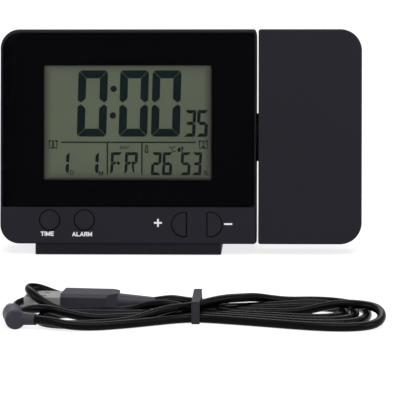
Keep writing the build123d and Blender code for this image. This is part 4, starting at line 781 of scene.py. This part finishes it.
def painted_shade_on_keys(x, y, z):
    """Painted shade: 1 on a band just inside each button's outline and on its sides, in the shade of
    its opening.
    """
    inside = [from_centre(x, z, *middle) - ROUND_R * MM for middle in ROUND_KEYS]
    for middle_x, flat_x, way in HALF_KEYS:
        past_flat = (flat_x * MM - x) if way > 0 else (x - flat_x * MM)
        inside.append((from_centre(x, z, middle_x, HALF_Z) - HALF_R * MM).maths("MAXIMUM", past_flat))
    nearest = inside[0]
    for other in inside[1:]:
        nearest = nearest.maths("MINIMUM", other)
    rim_shade = nearest.over(RIM_SHADE_LIMITS[0] * MM, RIM_SHADE_LIMITS[1] * MM)
    return rim_shade.maths("MAXIMUM", y.over(SIDE_SHADE_LIMITS[0] * MM, SIDE_SHADE_LIMITS[1] * MM))


key_plastic = moulded("button_abs", KEY_ABS, 0.52, grain=0.3, depth=10, specular_ior_level=ABS_SPECULAR)
# Painted shade darkens each front button's rim and sides.
recolour(key_plastic, painted_shade_on_keys, PAINTED_RIM_SHADE)
dress(key_plastic, "time_button", "alarm_button", "plus_button", "minus_button")
rear_key = moulded(
    "rear_button_abs", KEY_ABS, 0.52,
    grain=0.3, depth=10, specular_ior_level=ABS_SPECULAR,
)
dress(rear_key, "snooze_bar", "flip_button")

# ---- front lettering
# White pad-printed words under the round buttons, and a plus and a minus beside the half-moon ones.
# The ink lies 25 microns thick on the lower band of the casing.
white_print = moulded("white_print", (0.90, 0.90, 0.93), 0.6, grain=0.3, depth=3, uneven=0.04)
PRINT_T = 0.025
PRINT_LINE = 0.42
KEY_WORDS = (("TIME", 16.95, 22.4, 3.2, 5.05), ("ALARM", 30.05, 38.35, 3.05, 4.9))
PLUS = (65.7, 8.74, 1.65, 0.38)
MINUS = (93.1, 96.5, 7.92, 8.66)
lettering = bmesh.new()
for word in KEY_WORDS:
    capitals(lettering, *word, PRINT_LINE, -PRINT_T, 0.0)
x, z, reach, line = PLUS
cross = [
    (-reach, -line), (-line, -line), (-line, -reach), (line, -reach), (line, -line), (reach, -line),
    (reach, line), (line, line), (line, reach), (-line, reach), (-line, line), (-reach, line),
]
plates(lettering, [[(x + dx, z + dz) for dx, dz in cross], bar(*MINUS)], -PRINT_T, 0.0)
drawn("front_lettering", lettering, white_print, "clock")

# ---- rear lettering
# Small grey pad-printed words on the rear casing and the arm's rear shell: what the round socket
# takes, and what the focus ring and the button under it do.
grey_print = moulded("grey_print", (0.32, 0.32, 0.34), 0.6, grain=0.3, depth=3, uneven=0.04)
REAR_BOLD = 0.01
# Each piece's name and body, the Y of the back it is printed on, and its words by their edges.
REAR_WORDS = (
    ("clock_rear_lettering", "clock", 28.0, (("DC 5V", 92.5, 83.5, 9.8, 11.8),)),
    (
        "arm_rear_lettering", "arm", 20.0,
        (("FOCUS", 133.4, 123.8, 47.6, 49.6), ("180°", 131.8, 125.4, 27.2, 29.2)),
    ),
)
for name, body, back, printed in REAR_WORDS:
    rear = bmesh.new()
    for word in printed:
        words(rear, *word, back + PRINT_T, back, REAR_BOLD)
    drawn(name, rear, grey_print, body)

# ---- foot and hinge
# The foot is moulded in the same black plastic, smoother than the casings; bush and shaft are
# black acetal, the wires through the shaft have red jackets.
foot_plastic = moulded(
    "foot_abs", (0.0038, 0.0033, 0.0069), 0.5,
    grain=0.4, depth=10, specular_ior_level=0.17,
)
dress(foot_plastic, "base_foot")
acetal = moulded(
    "hinge_acetal", (0.002, 0.002, 0.0025), 0.6,
    grain=0.4, depth=6, specular_ior_level=0.02,
)
dress(acetal, "hinge_bush", "hinge_shaft")
wire_jacket = moulded("wire_jacket", (0.35, 0.02, 0.02), 0.4, grain=0.6, depth=5)
dress(wire_jacket, "hinge_wires")

# ---- projector
# A lamp, condenser and small liquid crystal cell in a dark tube; the lens and its holder slide in it
# as the knurled focus ring is turned.
ring_plastic = moulded("focus_ring_abs", (0.012, 0.012, 0.013), 0.38, grain=0.3, depth=10)
dress(ring_plastic, "focus_ring", "lens_holder")
lens = moulded("lens_acrylic", (0.03, 0.035, 0.05), 0.04, grain=2, depth=1, uneven=0.05, alpha=0.35)
dress(lens, "projection_lens", "condenser_lens")
lamp_body = moulded("led_body", (0.75, 0.70, 0.52), 0.3, grain=0.6, depth=4, uneven=0.05)
dress(lamp_body, "projector_led")

# ---- lead
# A thin black lead, folded back and forth into a hank and held by a wire tie: a USB plug on one end
# and a right-angle round plug on the other, which fits the socket at the back of the clock.
LEAD = Vector((12.0, -140.0, 0.0))
CORD_ACROSS = 0.0033
CORD_STEPS = 6
# Each point's X, Y and height over the table from the tie's middle; no height means the cord lies on
# the table.
ON_TABLE = 1.7
CORD_ROUTE = [
    # from the round plug along the near side to the tie
    (-57.6, -21.3, 3.7), (-52, -23.1, 3.6), (-46, -24, 2.2), (-37, -23.8), (-26, -19.9), (-16, -15),
    (-8, -10.9), (0, -8.7), (9, -10.9), (18, -13.6), (28, -17), (40, -21),
    # outermost fold on the right
    (50, -23.2), (59, -22.8), (66, -18.6, 1.8), (68.6, -11.2, 3.2), (66.8, -4.2, 4.9),
    (60.5, -0.2, 5.2), (53, 1, 5.2), (45.5, 1.2, 3.8), (38, 1.3, 1.8), (27, 1.5), (18, 1.8),
    (11, 2.4, 1.9), (6, 2.8, 3.6), (0, 3.4, 4.9),
    # fold on the left that crosses the USB plug's shell
    (-5, 5.3, 5.1), (-10, 9.3, 5), (-17, 12.6, 3.2), (-26, 15.6, 1.8), (-36, 19.2),
    (-46, 21.8, 1.8), (-54, 22.9, 3.4), (-60.6, 20.8, 6.6), (-64, 14.6, 8.2), (-63, 7.6, 8.2),
    (-58.4, 3, 5.4), (-51.6, 1.4, 2), (-42, 1.1), (-32, 1.2), (-24, 1.5, 2.4), (-17, 0.9, 4.8),
    (-11, -0.3, 5.2), (-5, -1.3, 4.2), (0, -1.7, 1.9),
    # second fold on the right
    (10, -4), (18, -6.5), (28, -9.2), (40, -12.4), (49, -13.4), (55.6, -9.8), (58.8, -2.2),
    (58.2, 6.2), (54, 13.4), (46.5, 17), (37, 16.4), (27, 12.8), (18, 10.6), (8, 9.2), (0, 8.6),
    # outermost fold on the left
    (-8, 10.8), (-17, 16.2), (-27, 20), (-38, 23.8), (-48, 26.4), (-57.5, 26.2), (-65, 22),
    (-68.6, 14.5), (-68.3, 6), (-65.2, -1, 2.2), (-60.6, -6.2, 4.4), (-54.5, -9.2, 5.2),
    (-46.5, -10.6, 3.4), (-38, -10.4), (-28, -8.6), (-18, -6.4), (-8, -5.1), (0, -5.1),
    # third fold on the right, over the waist
    (10, -7.4), (18, -9.9), (28, -13), (40, -16.8), (50, -18.2), (57.6, -15.6), (62.2, -9),
    (63.4, -0.5), (62, 8.4), (57.6, 16.2), (50.5, 21), (42, 22.4), (34, 20.4, 1.9),
    (27.5, 17.2, 3.2), (21.5, 12.6, 5.1), (16, 7.4, 5.9), (11, 3.2, 6.5), (6, 0, 6.3),
    (0, -3.2, 5.2),
    # near fold on the left
    (-5, -5.8, 5.1), (-10, -8.5, 5.1), (-16, -11.2, 3.8), (-24, -14.6), (-34, -19), (-42, -20.4),
    (-49, -20.6), (-55.4, -17.6), (-58.1, -11.3), (-55.6, -5), (-49.4, -2.2), (-42, -2.2),
    (-35, -2.5), (-26, -2.6), (-18, -1.8), (-12, -0.2), (-6, 1.4), (0, 1.7),
    # innermost fold on the right
    (5, 0.5), (10, -0.9), (18, -2.9), (28, -5.3), (38, -7.8), (46.5, -8.6), (53, -5.2), (55.2, 1.6),
    (52.6, 8.4), (45.5, 11.6), (36, 10.6), (26, 8.2), (18, 6.6), (10, 5.9), (5, 5.5), (0, 5.2),
    # into the USB plug's sleeve
    (-5, 5.2, 1.8), (-11, 6.4, 2.5), (-17, 7.7, 3.8),
]
cord_curve = bpy.data.curves.new("lead_cord", "CURVE")
cord_curve.dimensions = "3D"
cord_curve.bevel_depth = CORD_ACROSS / 2
cord_curve.bevel_resolution = CORD_STEPS
cord_curve.resolution_u = CORD_STEPS
cord_curve.use_fill_caps = True
run = cord_curve.splines.new("NURBS")
run.points.add(len(CORD_ROUTE) - 1)
for point, (x, y, *height) in zip(run.points, CORD_ROUTE):
    point.co = (*((LEAD + Vector((x, y, *(height or [ON_TABLE])))) * MM), 1.0)
run.order_u = 3
run.use_endpoint_u = True
lead_cord = bpy.data.objects.new("lead_cord", cord_curve)
bpy.context.scene.collection.objects.link(lead_cord)
cord_jacket = moulded(
    "cord_pvc", (0.0016, 0.0016, 0.0026), 0.26,
    grain=0.8, depth=4, uneven=0.15, specular_ior_level=0.07,
)
cord_curve.materials.append(cord_jacket)
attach(lead_cord, "clock")
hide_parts("lead_hank")
overmould = moulded(
    "plug_overmould", (0.035, 0.033, 0.046), 0.5,
    grain=0.5, depth=10, specular_ior_level=0.25,
)
dress(overmould, "usb_plug_grip", "dc_plug_grip")
nickel = moulded(
    "nickel_plate", (0.60, 0.58, 0.585), 0.3,
    grain=0.5, depth=2, uneven=0.03, metallic=0.55,
)
dress(nickel, "usb_plug_shell", "dc_plug_barrel")
insert = moulded("plug_insert", (0.72, 0.72, 0.70), 0.4, grain=0.6, depth=4, uneven=0.04)
dress(insert, "usb_plug_tongue")

# Four gold contacts on the USB plug's tongue, each drawn from the side, from the plug's open end.
USB_TIP = Vector((-64.5, 12.8, 0.0))
USB_HEADING = math.radians(-6)
CONTACT_SIDE = ((1.5, 3.72), (2.0, 3.86), (9.6, 3.86), (9.6, 3.76), (1.5, 3.66))
CONTACT_HALF = 0.5
CONTACT_MIDDLES = (-3.5, -1.0, 1.0, 3.5)
usb_frame = Matrix.Translation((LEAD + USB_TIP) * MM)
usb_frame = usb_frame @ Matrix.Rotation(USB_HEADING, 4, "Z") @ Matrix.Scale(MM, 4)
strips = bmesh.new()
for middle in CONTACT_MIDDLES:
    sides = [
        [usb_frame @ Vector((x, y, z)) for x, z in CONTACT_SIDE]
        for y in (middle - CONTACT_HALF, middle + CONTACT_HALF)
    ]
    prism(strips, *sides)
gold = metal("contact_gold", (0.85, 0.62, 0.25), 0.2, 0.03)
drawn("usb_contacts", strips, gold, "clock")

tie_jacket = moulded(
    "wire_tie", (0.0095, 0.0085, 0.0140), 0.45,
    grain=0.4, depth=10, specular_ior_level=0.3,
)
dress(tie_jacket, "twist_tie")
